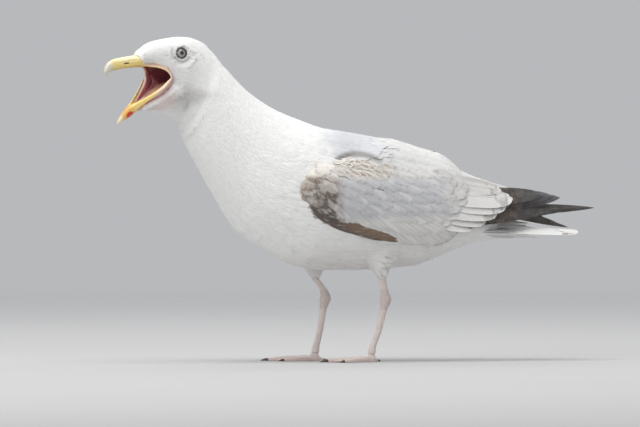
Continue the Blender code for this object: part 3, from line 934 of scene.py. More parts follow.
def makeCoatTree():
    # vanes spread over the skin, each lying along the field named lie
    layout = Layout("coat", {
        "Mask": "String", "Spacing": "Float", "Length": "Float", "Width": "Float",
        "Tilt": "Float", "Unruly": "Float", "Sink": "Float", "Seed": "Int",
        "Vane": "Object", "Finish": "Material"})
    seed = layout.input("Seed")
    mask = layout.named(layout.input("Mask"))
    spread = layout.node("GeometryNodeDistributePointsOnFaces", {"distribute_method": "POISSON"}, {
        "Mesh": layout.input("Geometry"), "Distance Min": layout.input("Spacing"),
        "Density Max": 1.4 / (layout.input("Spacing") * layout.input("Spacing")),
        "Density Factor": mask, "Seed": seed})
    normal = Wire(layout, spread.socket.node.outputs["Normal"])
    lying = layout.node("FunctionNodeAxesToRotation",
                        {"primary_axis": "Z", "secondary_axis": "Y"},
                        {0: normal, 1: layout.named("lie", "FLOAT_VECTOR")})
    unruly = layout.input("Unruly")
    lift = layout.input("Tilt") * layout.random(0.8, 1.25, seed + 1)
    lean = unruly * layout.random(-0.5, 0.5, seed + 2)
    turn = unruly * layout.random(-1.0, 1.0, seed + 3)
    euler = layout.node("ShaderNodeCombineXYZ", {}, {"X": lift, "Y": lean, "Z": turn})
    local = layout.node("FunctionNodeEulerToRotation", {}, {0: euler})
    turned = layout.node("FunctionNodeRotateRotation", {"rotation_space": "LOCAL"},
                         {0: lying, 1: local})
    grown = layout.random(0.86, 1.14, seed + 4)
    long = layout.input("Length") * grown
    wide = layout.input("Width") * grown
    scale = layout.node("ShaderNodeCombineXYZ", {}, {"X": wide, "Y": long, "Z": long})
    down = layout.node("ShaderNodeVectorMath", {"operation": "SCALE"},
                       {0: normal, "Scale": -layout.input("Sink")})
    sunk = layout.node("GeometryNodeSetPosition", {}, {"Geometry": spread, "Offset": down})
    vane = layout.node("GeometryNodeObjectInfo", {}, {"Object": layout.input("Vane")}, "Geometry")
    laid = layout.node("GeometryNodeInstanceOnPoints", {}, {
        "Points": sunk, "Instance": vane, "Rotation": turned, "Scale": scale})
    laid = layout.store(laid, "tint", layout.random(0.0, 1.0, seed + 5))
    real = layout.node("GeometryNodeRealizeInstances", {}, {"Geometry": laid})
    layout.close(layout.node("GeometryNodeSetMaterial", {}, {
        "Geometry": real, "Material": layout.input("Finish")}))
    return layout


coatLayout = makeCoatTree()


def dropStrays(mesh, block, far):
    # vanes that end clear of the skin, where the back changes its slope, are left out
    tufts = pointsOf(mesh).reshape(-1, block, 3)
    ends = np.argmax(np.linalg.norm(tufts - tufts[:, :1], axis=2), axis=1)
    work = bmesh.new()
    work.from_mesh(mesh)
    work.verts.ensure_lookup_table()
    gone = []
    for i, tuft in enumerate(tufts):
        tip = Vector(tuft[ends[i]])
        if (skinTree.find_nearest(tip)[0] - tip).length > far * mm:
            gone += [work.verts[i * block + k] for k in range(block)]
    bmesh.ops.delete(work, geom=gone, context="VERTS")
    work.to_mesh(mesh)
    work.free()


def makeCoat(name, look, finish):
    vane = look.get("vane", looseVane)
    mesh = coatLayout.run(skin, {
        "Mask": look["mask"], "Spacing": look["spacing"] * mm, "Length": look["long"] * mm,
        "Width": look["wide"] * mm, "Tilt": math.radians(look["tilt"]),
        "Unruly": math.radians(look["unruly"]), "Sink": look["sink"] * mm,
        "Seed": look["seed"], "Vane": vane, "Finish": finish})
    block = len(vane.data.vertices)
    if "close" in look:
        dropStrays(mesh, block, look["close"])
    addBakeMap(mesh, pointsOf(mesh)[::block], block)
    for extra in [a.name for a in mesh.attributes if a.name in fields]:
        mesh.attributes.remove(mesh.attributes[extra])
    ridesOnBody(newObject(name, mesh))
    print(name, len(mesh.vertices) // block, "feathers")


# Large feathers, each laid over the surface below it
def onSide(x, z, side):
    # the point of the skin that shows from the side at x and z (mm)
    start = Vector((x * mm, side * 0.3, z * mm))
    hit, normal, _, _ = skinTree.ray_cast(start, Vector((0, -side, 0)), 0.5)
    return (hit, normal) if hit else (Vector((x * mm, side * 8 * mm, z * mm)), Vector((0, side, 0)))


def fromAbove(x, y):
    hit, normal, _, _ = skinTree.ray_cast(Vector((x * mm, y * mm, 1.0)), Vector((0, 0, -1)), 2.0)
    return hit, normal


def around(x, angle, side):
    # the point of the skin at x, that many degrees down from the back's middle line
    turn = math.radians(angle)
    out = Vector((0, side * math.sin(turn), math.cos(turn)))
    hit, normal, _, _ = skinTree.ray_cast(Vector((x, 0, 190)) * mm + out * 0.2, -out)
    return hit, normal


feather = {
    "covert": [(0.0, 0.30), (0.2, 0.75), (0.5, 1.0), (0.75, 0.97), (0.9, 0.72), (0.97, 0.42),
               (1.0, 0.10)],
    "quill": [(0.0, 0.35), (0.15, 0.8), (0.45, 1.0), (0.7, 0.98), (0.85, 0.85), (0.94, 0.6),
              (0.985, 0.3), (1.0, 0.06)],
    "pointed": [(0.0, 0.5), (0.2, 0.9), (0.45, 1.0), (0.65, 0.86), (0.8, 0.62), (0.9, 0.4),
                (0.97, 0.18), (1.0, 0.04)],
    "blunt": [(0.0, 0.5), (0.3, 0.95), (0.55, 1.0), (0.74, 0.85), (0.87, 0.6), (0.95, 0.34),
              (1.0, 0.05)],
    "square": [(0.0, 0.35), (0.2, 0.7), (0.5, 0.9), (0.8, 1.0), (0.92, 0.93), (0.98, 0.62),
               (1.0, 0.2)],
}
acrossSteps = (-1.0, -0.55, -0.06, 0.06, 0.55, 1.0)


def held(point, cling):
    # the point drawn to the skin, the way the skin faces there, and how firmly it holds
    near, facing, _, _ = skinTree.find_nearest(point)
    away = (near - point).length / mm
    hold = float(ramp(np.float64(away), cling, 0.3 * cling))
    return point.lerp(near, hold), facing, hold


class Batch:
    # gathers feathers as closed vanes, then makes one piece of them
    def __init__(self):
        self.points = []
        self.faces = []
        self.uv = []
        self.roots = []
        self.tint = []
        self.kind = []
        self.blocks = []

    def add(self, root, forward, normal, length, width, lift=(0, 0), shape="covert",
            camber=0.05, bend=0.0, tint=0.5, kind=0.0, thick=0.35, cling=3.0, ribs=8,
            twist=0.0, close=0.0):
        # lengths in mm; bend turns the shaft aside and twist turns the vane about it, cling
        # is how near the skin has to be to hold it, and close how near its end has to be
        stations = np.linspace(0, 1, ribs)
        profile = feather[shape]
        stations = np.concatenate([stations[stations < 0.74], [0.8, 0.88, 0.94, 0.98, 1.0]])
        halves = np.interp(stations, [p[0] for p in profile], [p[1] for p in profile])
        point, along, up = Vector(root), Vector(forward), Vector(normal)
        along = (along - up * along.dot(up)).normalized()
        start, facesBefore = len(self.points), len(self.faces)
        last = 0.0
        count = len(acrossSteps)
        ringSize = 2 * count - 2
        for row, (t, half) in enumerate(zip(stations, halves)):
            step = (t - last) * length * mm
            last = t
            point = point + along * step
            if twist:
                turn = math.radians(twist) * step / (length * mm)
                up = Matrix.Rotation(turn, 3, along) @ up
            if cling:
                point, facing, hold = held(point, cling)
                if hold > 0.5:
                    up = up.lerp(facing, 0.6).normalized()
            side = up.cross(along).normalized()
            along = along + side * bend * step / mm * 0.01
            along = (along - up * along.dot(up) * (1 if cling else 0)).normalized()
            height = (lift[0] + (lift[1] - lift[0]) * t) * mm
            tops, lows = [], []
            for s in acrossSteps:
                base = point + side * (s * half * width / 2 * mm)
                rise = height + camber * width * mm * (1 - s * s)
                if cling:
                    base = held(base, cling)[0]
                deep = thick * mm * (1 - 0.55 * t) * (0.35 if abs(s) > 0.3 else 1.0)
                tops.append(base + up * rise)
                lows.append(base + up * (rise - deep))
            ring = tops + lows[-2:0:-1]
            self.points.extend(ring)
            u = [0.5 + s / 2 for s in acrossSteps]
            self.uv.extend([(v, t) for v in u + u[-2:0:-1]])
            if row:
                a = start + (row - 1) * ringSize
                b = a + ringSize
                for i in range(ringSize):
                    j = (i + 1) % ringSize
                    self.faces.append((a + i, a + j, b + j, b + i))
        if close and (skinTree.find_nearest(point)[0] - point).length > close * mm:
            # it has left the surface, so it is not laid
            del self.points[start:], self.uv[start:], self.faces[facesBefore:]
            return
        end = len(self.points) - ringSize
        for first in (start, end):
            for i in range(count - 1):
                j = ringSize - i
                strip = (first + i, first + i + 1, first + (j - 1) % ringSize,
                         first + j % ringSize)
                self.faces.append(tuple(dict.fromkeys(strip)))
        made = len(self.points) - start
        self.roots.append(root)
        self.blocks.append(made)
        self.tint.extend([tint] * made)
        self.kind.extend([kind] * made)

    def piece(self, name, slot, material, ownCells=False):
        mesh = bpy.data.meshes.new(name)
        mesh.from_pydata(self.points, [], self.faces)
        turnOutward(mesh)
        mesh.set_sharp_from_angle(angle=math.radians(70))
        corner = cornersOf(mesh)
        vane = np.array(self.uv)[corner]
        mesh.uv_layers.new(name="vane").data.foreach_set("uv", vane.ravel())
        block = np.repeat(np.arange(len(self.blocks)), self.blocks)[corner]
        if ownCells:
            across = math.ceil(math.sqrt(len(self.blocks)))
            cell = np.stack([block % across, block // across], axis=1)
            margin = unwrapLook["cellMargin"]
            bake = (cell + margin + vane * (1 - 2 * margin)) / across
        else:
            places = unwrapPlaces([np.array(root) for root in self.roots])
            bake = places[block] + (vane - 0.5) * unwrapLook["patch"]
        mesh.uv_layers.new(name="OFBake").data.foreach_set("uv", bake.ravel())
        for key, values in (("tint", self.tint), ("kind", self.kind)):
            mesh.attributes.new(key, "FLOAT", "POINT").data.foreach_set("value", values)
        print(name, len(self.blocks), "feathers,", len(mesh.polygons), "faces")
        return ridesOnBody(newObject(name, mesh, material))


def slope(angle):
    # a direction that many degrees below the tailward axis
    turn = math.radians(angle)
    return Vector((math.cos(turn), 0, -math.sin(turn)))


# The wing's lower border and where its rows of feathers have their tips, mm
lowerBorder = [(-63, 186), (-56, 169), (-43, 158), (-20, 148), (3, 139), (25, 132.5), (48, 127),
               (71, 124.8), (93, 124.2), (105, 127), (116, 136), (129, 146), (147, 156),
               (166, 166.5), (180, 172.5), (191, 178.5)]


def borderHeight(x):
    return float(np.interp(x, [p[0] for p in lowerBorder], [p[1] for p in lowerBorder]))


wingRows = [
    # first and last tip x, tips above the lower border, angle first and last, size, kind
    {"name": "secondaries", "count": 18, "x": (22, 146), "above": (-2.0, -1.5), "angle": (54, 38),
     "long": (50, 56), "wide": (13, 14), "lift": (0.3, 0.9), "shape": "quill", "kind": 0.25},
    {"name": "greater", "count": 28, "x": (-12, 150), "above": (9, 14), "angle": (50, 30),
     "long": (36, 44), "wide": (10, 12), "lift": (0.7, 1.3), "shape": "quill", "kind": 0.25},
    {"name": "median", "count": 25, "x": (-20, 144), "above": (25, 30), "angle": (42, 26),
     "long": (24, 30), "wide": (12, 14), "lift": (0.8, 1.4), "shape": "covert", "kind": 0.5},
    {"name": "lesserLow", "count": 24, "x": (-26, 140), "above": (36, 41), "angle": (36, 26),
     "long": (20, 26), "wide": (11, 14), "lift": (0.8, 1.5), "shape": "covert", "kind": 0.5},
    {"name": "lesserHigh", "count": 22, "x": (-32, 134), "above": (47, 51), "angle": (34, 28),
     "long": (18, 24), "wide": (10, 14), "lift": (0.8, 1.5), "shape": "covert", "kind": 0.55},
    {"name": "lesserTop", "count": 20, "x": (-34, 122), "above": (58, 62), "angle": (32, 28),
     "long": (16, 22), "wide": (9, 13), "lift": (0.7, 1.3), "shape": "covert", "kind": 0.6},
    {"name": "lesserUp", "count": 17, "x": (-15, 112), "above": (66, 70), "angle": (28, 24),
     "long": (14, 21), "wide": (8, 13), "lift": (0.7, 1.2), "shape": "covert", "kind": 0.6},
    {"name": "lesserRim", "count": 14, "x": (-3, 100), "above": (74, 79), "angle": (24, 20),
     "long": (13, 20), "wide": (8, 13), "lift": (0.6, 1.1), "shape": "covert", "kind": 0.6},
    {"name": "lesserFold", "count": 8, "x": (8, 60), "above": (80, 86), "angle": (20, 16),
     "long": (12, 16), "wide": (8, 12), "lift": (0.4, 0.9), "shape": "covert", "kind": 0.6},
]


def layWingRows(batch, side, jitter):
    for row in wingRows:
        for i in range(row["count"]):
            t = i / (row["count"] - 1)
            pick = [row[key][0] + (row[key][1] - row[key][0]) * t
                    for key in ("x", "above", "angle", "long", "wide")]
            tipX, above, angle, long, wide = pick
            stray = 0.6 if row["name"] == "secondaries" else 2.2
            tipX += jitter.uniform(-1.0, 1.0)
            tipZ = borderHeight(tipX) + above + jitter.uniform(-stray, stray)
            heading = slope(angle)
            root, normal = onSide(tipX - heading.x * long, tipZ - heading.z * long, side)
            batch.add(root, heading, normal, long * jitter.uniform(0.97, 1.03), wide,
                      lift=row["lift"], shape=row["shape"], kind=row["kind"],
                      tint=jitter.uniform(0, 1), bend=-0.6 * side, camber=0.06)


# Tertials: root x and z, tip x, y from the middle, z, and width
tertials = [((90, 158), (138, 52, 151), 22), ((97, 165), (152, 47, 157.5), 25),
            ((92, 172), (165, 42, 164.5), 27), ((99, 180), (176, 37, 172), 28),
            ((93, 187), (183.5, 32.5, 179), 28), ((100, 194), (181, 30, 184.5), 23),
            ((96, 201), (170, 29.5, 188), 19)]
# Alula and primary coverts along the leading edge: root x, above the border, length, width
leadingEdge = [(-52, 6, 34, 10), (-48, 3.5, 46, 12), (-40, 2.5, 60, 13), (-32, 2.5, 76, 13),
               (-20, 4.0, 70, 13), (-12, 7.0, 60, 12)]
# Scapulars: degrees from the back's middle, first and last x, length, width, how many
scapulars = [(70, 40, 126, 24, 14, 10), (59, 38, 130, 27, 15, 10), (48, 42, 128, 29, 16, 10),
             (37, 38, 124, 30, 17, 9), (26, 42, 118, 31, 17, 8), (14, 38, 112, 30, 16, 8)]


def layScapulars(batch, side, jitter):
    for angle, first, last, long, wide, count in scapulars:
        for i in range(count):
            x = first + (last - first) * i / (count - 1) + jitter.uniform(-2, 2)
            grown = 0.72 + 0.36 * i / (count - 1)
            root, normal = around(x - 0.8 * long * grown, angle + jitter.uniform(-2, 2), side)
            if not root or root.z / mm < edgeHeight(root.x / mm) + 1:
                continue
            heading = Vector((1, side * 0.06, -0.16 - 0.003 * angle))
            batch.add(root, heading, normal, long * grown, wide * grown, lift=(0.2, 0.8),
                      tint=jitter.uniform(0, 1), cling=5.0, close=0.6)


rumpLook = {"first": 88, "last": 182, "rows": 14, "apart": 8.0, "long": 24, "wide": 15}


def layRump(batch, jitter):
    # the back's rear end, between the folded wings
    for i, x in enumerate(np.linspace(rumpLook["first"], rumpLook["last"], rumpLook["rows"])):
        reach = float(np.interp(x, (88, 112, 150, 165, 182), (38, 32, 26, 20, 8)))
        count = max(2, round(2 * reach / rumpLook["apart"])) + i % 2
        for y in np.linspace(-reach, reach, count):
            root, normal = fromAbove(x + jitter.uniform(-1, 1), y + jitter.uniform(-1, 1))
            if root:
                heading = Vector((1, -0.004 * y, -0.4))
                along = heading - normal * heading.dot(normal)
                thin = x > 146
                batch.add(root, along, normal, rumpLook["long"] * jitter.uniform(0.9, 1.1),
                          rumpLook["wide"], lift=(0.3, 1.1), tint=jitter.uniform(0, 1),
                          cling=0 if thin else 3.0, close=0 if thin else 0.6)


def layEdges(batch, side, jitter):
    for i, (x, above, long, wide) in enumerate(leadingEdge):
        root, normal = onSide(x, borderHeight(x) + above, side)
        run = math.atan2(borderHeight(x) - borderHeight(x + long * 0.9), long * 0.9)
        batch.add(root, slope(math.degrees(run) + 1.5), normal, long, wide, lift=(0.8, 1.4),
                  shape="pointed", kind=1.0, tint=0.2 + 0.15 * i)
    for i, (base, tip, wide) in enumerate(tertials):
        root, normal = onSide(*base, side)
        run = mirrored(tip, side) - root
        out = Vector((0.25, side, 0.14)).normalized()
        batch.add(root - run * 0.1, run, out, run.length / mm * 1.1, wide,
                  lift=(-3.0, 0.0), shape="quill", kind=0.75, tint=jitter.uniform(0.2, 0.9),
                  camber=0.02, ribs=12, cling=0, thick=0.2, twist=23 * side)
        for k, (begin, share) in enumerate(((-0.12, 0.50), (-0.16, 0.36))):
            slid = Vector((0, 0, (3.6 if k else 0.0))) * mm
            batch.add(root + run * begin + slid, run, out, run.length / mm * share, 15,
                      lift=(-2.2, 0.6 + 0.4 * k), kind=0.5, tint=jitter.uniform(0, 1),
                      camber=0.03, cling=0, thick=0.25, twist=21 * side * share)


# Folded primaries: root and tip (x, y from the middle, z), half width, shape
primaries = {
    "left": [
        ((128, 31.0, 166), (283.4, 5.0, 168.3), 6.2, "pointed"),
        ((122, 42.0, 158), (262, 8.5, 168.5), 6.8, "pointed"),
        ((118, 47.0, 153), (240, 13.5, 167.5), 7.2, "pointed"),
        ((126, 34.0, 172), (240.6, 16.5, 179.5), 9.0, "blunt"),
        ((124, 35.0, 176), (231, 19.0, 181.5), 9.5, "blunt"),
        ((122, 36.0, 180), (219, 23.0, 183), 9.5, "blunt"),
    ],
    "right": [
        ((128, 31.0, 179), (259, 16.5, 146.6), 5.5, "pointed"),
        ((128, 32.0, 178), (246, 19.0, 152), 6.5, "pointed"),
        ((126, 33.0, 177), (232, 21.0, 158), 7.5, "pointed"),
        ((126, 31.0, 177), (228, 19.0, 166.5), 9.0, "quill"),
        ((124, 32.0, 178), (214, 22.0, 170), 9.5, "quill"),
    ],
}


def layPrimaries(batch, label):
    side = sides[label]
    for i, (root, tip, half, shape) in enumerate(primaries[label]):
        start, end = mirrored(root, side), mirrored(tip, side)
        run = (end - start).normalized()
        out = Vector((0.1, side, 0.18))
        out = (out - run * out.dot(run)).normalized()
        batch.add(start + out * 0.35 * i * mm, run, out, (end - start).length / mm, 2 * half,
                  shape=shape, tint=0.15 * i, cling=0, thick=0.8, ribs=14)


tailLook = {"pairs": 6, "rootX": 140, "tipX": 262, "halfWidth": 30, "arch": 7, "edge": 141.5}
# Coverts below the tail: distance from the middle, tip x and z
underTail = [(19, 196, 139.6), (13, 206, 138.4), (7, 214, 137.6), (0, 219, 137.4),
             (14, 224, 140.6), (7.5, 232, 141.8), (0.1, 236, 142.4), (11, 234, 142.4),
             (4, 242, 143.6)]


def layUnderTail(batch):
    for y, tipX, z in underTail:
        for side in ((-1, 1) if y else (1,)):
            root = Vector((138, side * y * 0.8, z - 1.0)) * mm
            tip = Vector((tipX, side * y, z)) * mm
            batch.add(root, tip - root, Vector((0, side * 0.03 * y, -1)), (tip - root).length / mm,
                      17, shape="pointed", kind=0.5, cling=0, camber=0.06, thick=0.6, ribs=10)


# Coverts above the tail: distance from the middle, root z, tip x, tip z
overTail = [(17, 153, 200, 147.5), (11.5, 156.5, 206, 150), (6, 159, 212, 151.5),
            (0, 160, 216, 152.5)]
# Coverts on the flank of the tail's root: root and tip (x, y from the middle, z), width
besideTail = [((142, 17.5, 144), (192, 26.5, 143.5), 10), ((144, 16.5, 148), (200, 25, 146.5), 11),
              ((146, 14.5, 152), (196, 21, 150.5), 11)]


def layOverTail(batch):
    for root, tip, wide in besideTail:
        for side in (-1, 1):
            start, end = mirrored(root, side), mirrored(tip, side)
            batch.add(start, end - start, Vector((0.1, side, 0.4)), (end - start).length / mm,
                      wide, kind=0.5, tint=0.6, cling=0, thick=0.5, ribs=10)
    for y, rootZ, tipX, tipZ in overTail:
        for side in ((-1, 1) if y else (1,)):
            root = Vector((146, side * y * 0.8, rootZ - 2)) * mm
            tip = Vector((tipX, side * y, tipZ)) * mm
            batch.add(root, tip - root, Vector((0.1, side * 0.05 * y, 1)),
                      (tip - root).length / mm, 16, kind=0.5, tint=0.6, cling=0, thick=0.6,
                      ribs=10)


def layTail(batch):
    layUnderTail(batch)
    layOverTail(batch)
    count = tailLook["pairs"]
    for i in range(2 * count):
        s = (i - count + 0.5) / (count - 0.5)
        tall = tailLook["arch"] * (1 - s * s)
        out = abs(s)
        tip = Vector((tailLook["tipX"] - 4 * out ** 3 - 1.2 * (1 - out),
                      s * tailLook["halfWidth"], tailLook["edge"] + 0.3 * tall - 0.2)) * mm
        root = Vector((tailLook["rootX"], s * 17, tailLook["edge"] + 2.0 + tall)) * mm
        run = (tip - root).normalized()
        up = Vector((0, 0.45 * s, 1))
        up = (up - run * up.dot(run)).normalized()
        batch.add(root + up * (0.5 * (1 - out)) * mm, run, up, (tip - root).length / mm, 15,
                  shape="square", tint=i / (2 * count), cling=0, camber=0.04, thick=0.7,
                  ribs=12)


# Finishes
everywhere = Matrix.Identity(4)
tones = {
    "white": (0.86, 0.86, 0.85), "shaded": (0.70, 0.685, 0.665), "mantle": (0.575, 0.585, 0.615),
    "band": (0.57, 0.575, 0.60), "pale": (0.745, 0.735, 0.715), "coverts": (0.72, 0.71, 0.69),
    "cream": (0.80, 0.76, 0.70), "brown": (0.25, 0.175, 0.125), "dark": (0.10, 0.08, 0.068),
    "rust": (0.185, 0.113, 0.068), "fringe": (0.72, 0.68, 0.62), "streakAndShade": (0.45, 0.44, 0.42),
    "blush": (0.70, 0.50, 0.47), "fold": (0.26, 0.25, 0.24),
}


def barbs(paint, fineness, lean=0.8):
    # from the vane map: places across and along it, distance from the shaft, the fine
    # barbs that run out from the shaft, and the shaft
    vane = paint.node("ShaderNodeUVMap", {"uv_map": "vane"})
    parts = paint.node("ShaderNodeSeparateXYZ", {}, {0: vane})
    across = Wire(paint, parts.socket.node.outputs["X"])
    along = Wire(paint, parts.socket.node.outputs["Y"])
    out = (across - 0.5).math("ABSOLUTE")
    lines = ((along - lean * out) * fineness).math("SINE")
    shaft = out.step(0.045, 0.0)
    return across, along, out, lines, shaft


def whiteMarkings(paint):
    # white, painted greyer below as shade, with a few grey streaks round the eye
    x, _, z = paint.placeIn(everywhere)
    headX, _, headZ = paint.placeIn(headFrame)
    # painted shade: the lower body greyer, as it lies away from the light above
    low = z.step(150, 96) * x.step(-100, -20)
    colour = paint.mix(low * 0.75, tones["white"], tones["shaded"])
    streaks = paint.noise(1.0, 2.0, paint.stretched((150, 150, 420)))
    before = headX.band(10, 22, 6) * headZ.band(-5, 5, 4)
    behind = headX.band(-26, -12, 6) * headZ.band(-8, 3, 5)
    mask = (before + behind).math("MINIMUM", 1.0) * streaks.step(0.48, 0.68)
    colour = paint.mix(mask * 0.55, colour, tones["streakAndShade"])
    jawX, _, jawZ = paint.placeIn(jawFrame)
    bare = jawX.step(14, 30) * jawZ.step(-5, -9) * headX.step(6, 22) * headZ.step(-66, -52)
    colour = paint.mix(bare * 0.5, colour, tones["blush"])
    # a patch of painted shade under the throat, in the same grey as the streaks
    throat = (headX.math("ABSOLUTE") * 0.5 + (headZ + 49).math("ABSOLUTE")).step(20, 5)
    return paint.mix(throat * 0.6, colour, tones["streakAndShade"])


def wingMarkings(paint):
    # the folded wing: grey middle, pale upper and rear parts, brown marks along the front
    x, _, z = paint.placeIn(everywhere)
    broad = paint.noise(45, 2.0)
    fine = paint.noise(170, 3.0)
    spots = paint.noise(80, 3.0, roughness=0.6)
    colour = paint.mix(fine.step(0.40, 0.62), tones["pale"], tones["coverts"])
    lowPart = z.step(168, 150) * x.step(10, 45)
    band = (z + 12 * broad).band(168, 202, 9) * (x + 20 * broad).step(-26, -12)
    band = band * (x + 40 * broad).step(152, 100)
    colour = paint.mix(band * 0.92, colour, tones["band"])
    colour = paint.mix(lowPart * 0.5, colour, tones["coverts"])
    mottle = z.step(196, 206) * x.step(18, 40) * spots.step(0.56, 0.64)
    colour = paint.mix(mottle * 0.45, colour, tones["streakAndShade"])
    cream = x.step(-22, -36) * z.step(196, 206)
    colour = paint.mix(cream, colour, tones["cream"])
    # the brown of the bend, the small striped coverts and the leading edge
    bend = x.step(-14, -32) * (z + 10 * broad).band(156, 206, 8)
    bend = bend * (0.36 + 0.64 * (spots + 0.35 * fine).step(0.46, 0.76))
    colour = paint.mix(bend * 0.9, colour, tones["brown"])
    deep = (x + 0.35 * z).band(18, 36, 7) * z.band(158, 184, 6) * spots.step(0.34, 0.58)
    colour = paint.mix(deep * 0.8, colour, tones["dark"])
    return colour, x, z


def feathersWhite():
    paint = Paint("whiteFeathers", Roughness=0.75, Sheen_Weight=0.15)
    _, along, _, lines, shaft = barbs(paint, 70)
    tint = paint.attribute("tint")
    colour = whiteMarkings(paint)
    # tone varies at random, and each vane is painted a little lighter towards its tip, as light
    # shining through the thin end
    colour = paint.shade(colour, 0.955 + 0.05 * tint + 0.03 * along)
    bump = paint.bump(lines * 0.5 + shaft, 0.00012, 0.5)
    return paint.finish(Base_Color=colour, Normal=bump)


def mantleMarkings(paint):
    # silver grey behind the white neck, with painted shade in the fold over the wing, paler and
    # lightly marked towards the tail
    x, _, z = paint.placeIn(everywhere)
    soft = paint.noise(40, 2.0)
    spots = paint.noise(120, 2.0)
    front = (x + 24 * soft).step(-34, 6)
    colour = paint.mix(front, tones["white"], tones["mantle"])
    # painted shade along the fold between the mantle and the wing's small coverts
    arch = (x - 1) * (1 / 25)
    arch = (z + creaseLook["drop"] * (arch * arch) - creaseLook["top"]).math("ABSOLUTE")
    creaseShade = arch.step(creaseLook["half"], 0.8) * x.band(-26, 24, 9)
    colour = paint.mix(creaseShade * 0.92, colour, tones["fold"])
    rear = (x + 30 * soft).step(20, 80)
    colour = paint.mix(rear * 0.75, colour, tones["pale"])
    colour = paint.mix(rear * spots.step(0.56, 0.70) * 0.3, colour, tones["streakAndShade"])
    return colour, rear, x


def feathersMantle():
    paint = Paint("mantleFeathers", Roughness=0.7, Sheen_Weight=0.15)
    _, along, _, lines, shaft = barbs(paint, 80)
    tint = paint.attribute("tint")
    colour, rear, x = mantleMarkings(paint)
    edge = along.step(0.84, 0.97)
    colour = paint.mix(edge * (0.15 + 0.35 * rear), colour, tones["white"])
    back = x.step(96, 108)
    colour = paint.mix(back * edge * 0.6, colour, tones["white"])
    colour = paint.shade(colour, 0.95 + 0.08 * tint - 0.06 * shaft)
    bump = paint.bump(lines * 0.5 + shaft, 0.00015, 0.5)
    return paint.finish(Base_Color=colour, Normal=bump)


def feathersWing():
    paint = Paint("wingFeathers", Roughness=0.68, Sheen_Weight=0.12)
    across, along, out, lines, shaft = barbs(paint, 110)
    kind = paint.attribute("kind")
    tint = paint.attribute("tint")
    colour, x, z = wingMarkings(paint)
    # small upper coverts: brown centres with cream fringes
    small = x.band(-22, 34, 8) * z.step(200, 206) * z.step(228, 222)
    centre = out.step(0.26, 0.14) * along.step(0.92, 0.8)
    brownish = small * centre * (0.25 + 0.45 * tint)
    colour = paint.mix(small * 0.85, colour, tones["cream"])
    colour = paint.mix(brownish, colour, tones["brown"])
    # long coverts and secondaries: pale with a grey shaft line and a pale edge
    long = kind.step(0.4, 0.3)
    colour = paint.mix(long * out.step(0.10, 0.0) * 0.35, colour, tones["streakAndShade"])
    edge = (out.step(0.36, 0.46) + along.step(0.93, 0.99)).math("MINIMUM", 1.0)
    colour = paint.mix(edge * 0.35, colour, tones["pale"])
    colour = paint.mix(out.band(0.30, 0.36, 0.03) * 0.18, colour, tones["streakAndShade"])
    # rust on the leading edge, with its front and lower side painted dark as shade
    rust = kind.step(0.9, 0.95) * (tint * 30 + x).step(-34, -2)
    colour = paint.mix(rust * 0.92, colour, tones["rust"])
    # the front and lower side painted dark as shade
    low = kind.step(0.9, 0.95) * (across.step(0.4, 0.2) + x.step(-12, -24)).math("MINIMUM", 1.0)
    colour = paint.mix(low * 0.8, colour, tones["dark"])
    colour = paint.mix(kind.step(0.9, 0.95) * out.step(0.42, 0.5) * 0.5, colour, tones["fringe"])
    colour = paint.mix(tint.step(0.5, 0.95) * 0.4 * (1 - small), colour, tones["pale"])
    colour = paint.shade(colour, 0.93 + 0.10 * tint)
    bump = paint.bump(lines * 0.5 + shaft * 1.5, 0.0002, 0.6)
    return paint.finish(Base_Color=colour, Normal=bump)


def feathersTertial():
    paint = Paint("tertialFeathers", Roughness=0.66, Sheen_Weight=0.12)
    across, along, out, lines, shaft = barbs(paint, 150)
    kind = paint.attribute("kind")
    tint = paint.attribute("tint")
    colour, x, _ = wingMarkings(paint)
    tertial = kind.band(0.7, 0.8, 0.03)
    marks = paint.noise(150, 3.0, roughness=0.65)
    scallop = tertial * along.band(0.80, 0.93, 0.03) * marks.step(0.47, 0.56)
    colour = paint.mix(tertial * 0.5, colour, tones["pale"])
    colour = paint.mix(scallop * 0.85, colour, tones["streakAndShade"])
    dusk = tertial * across.step(0.62, 0.86) * along.step(0.35, 0.55) * along.step(0.93, 0.88)
    colour = paint.mix(dusk * 0.5, colour, tones["streakAndShade"])
    rear = x.step(140, 168)
    edge = (along.step(0.93, 0.965) * rear + out.step(0.42, 0.47) * 0.2).math("MINIMUM", 1.0)
    colour = paint.mix(tertial * edge, colour, tones["white"])
    colour = paint.mix(tertial * out.step(0.09, 0.0) * 0.3, colour, tones["streakAndShade"])
    leading = kind.step(0.9, 0.95)
    colour = paint.mix(leading * 0.95, colour, tones["rust"])
    # the leading edge's front and lower side painted dark as shade
    shaded = (x.step(-4, -24) + across.step(0.34, 0.18) * x.step(50, 20)).math("MINIMUM", 1.0)
    colour = paint.mix(leading * shaded * 0.85, colour, tones["dark"])
    worn = paint.noise(1.0, 3.0, paint.stretched((90, 300, 300)))
    colour = paint.mix(leading * worn.step(0.52, 0.72) * 0.4, colour, tones["fringe"])
    colour = paint.mix(leading * out.step(0.44, 0.5) * 0.6, colour, tones["fringe"])
    colour = paint.shade(colour, 0.93 + 0.10 * tint)
    bump = paint.bump(lines * 0.5 + shaft * 2, 0.00025, 0.6)
    return paint.finish(Base_Color=colour, Normal=bump)


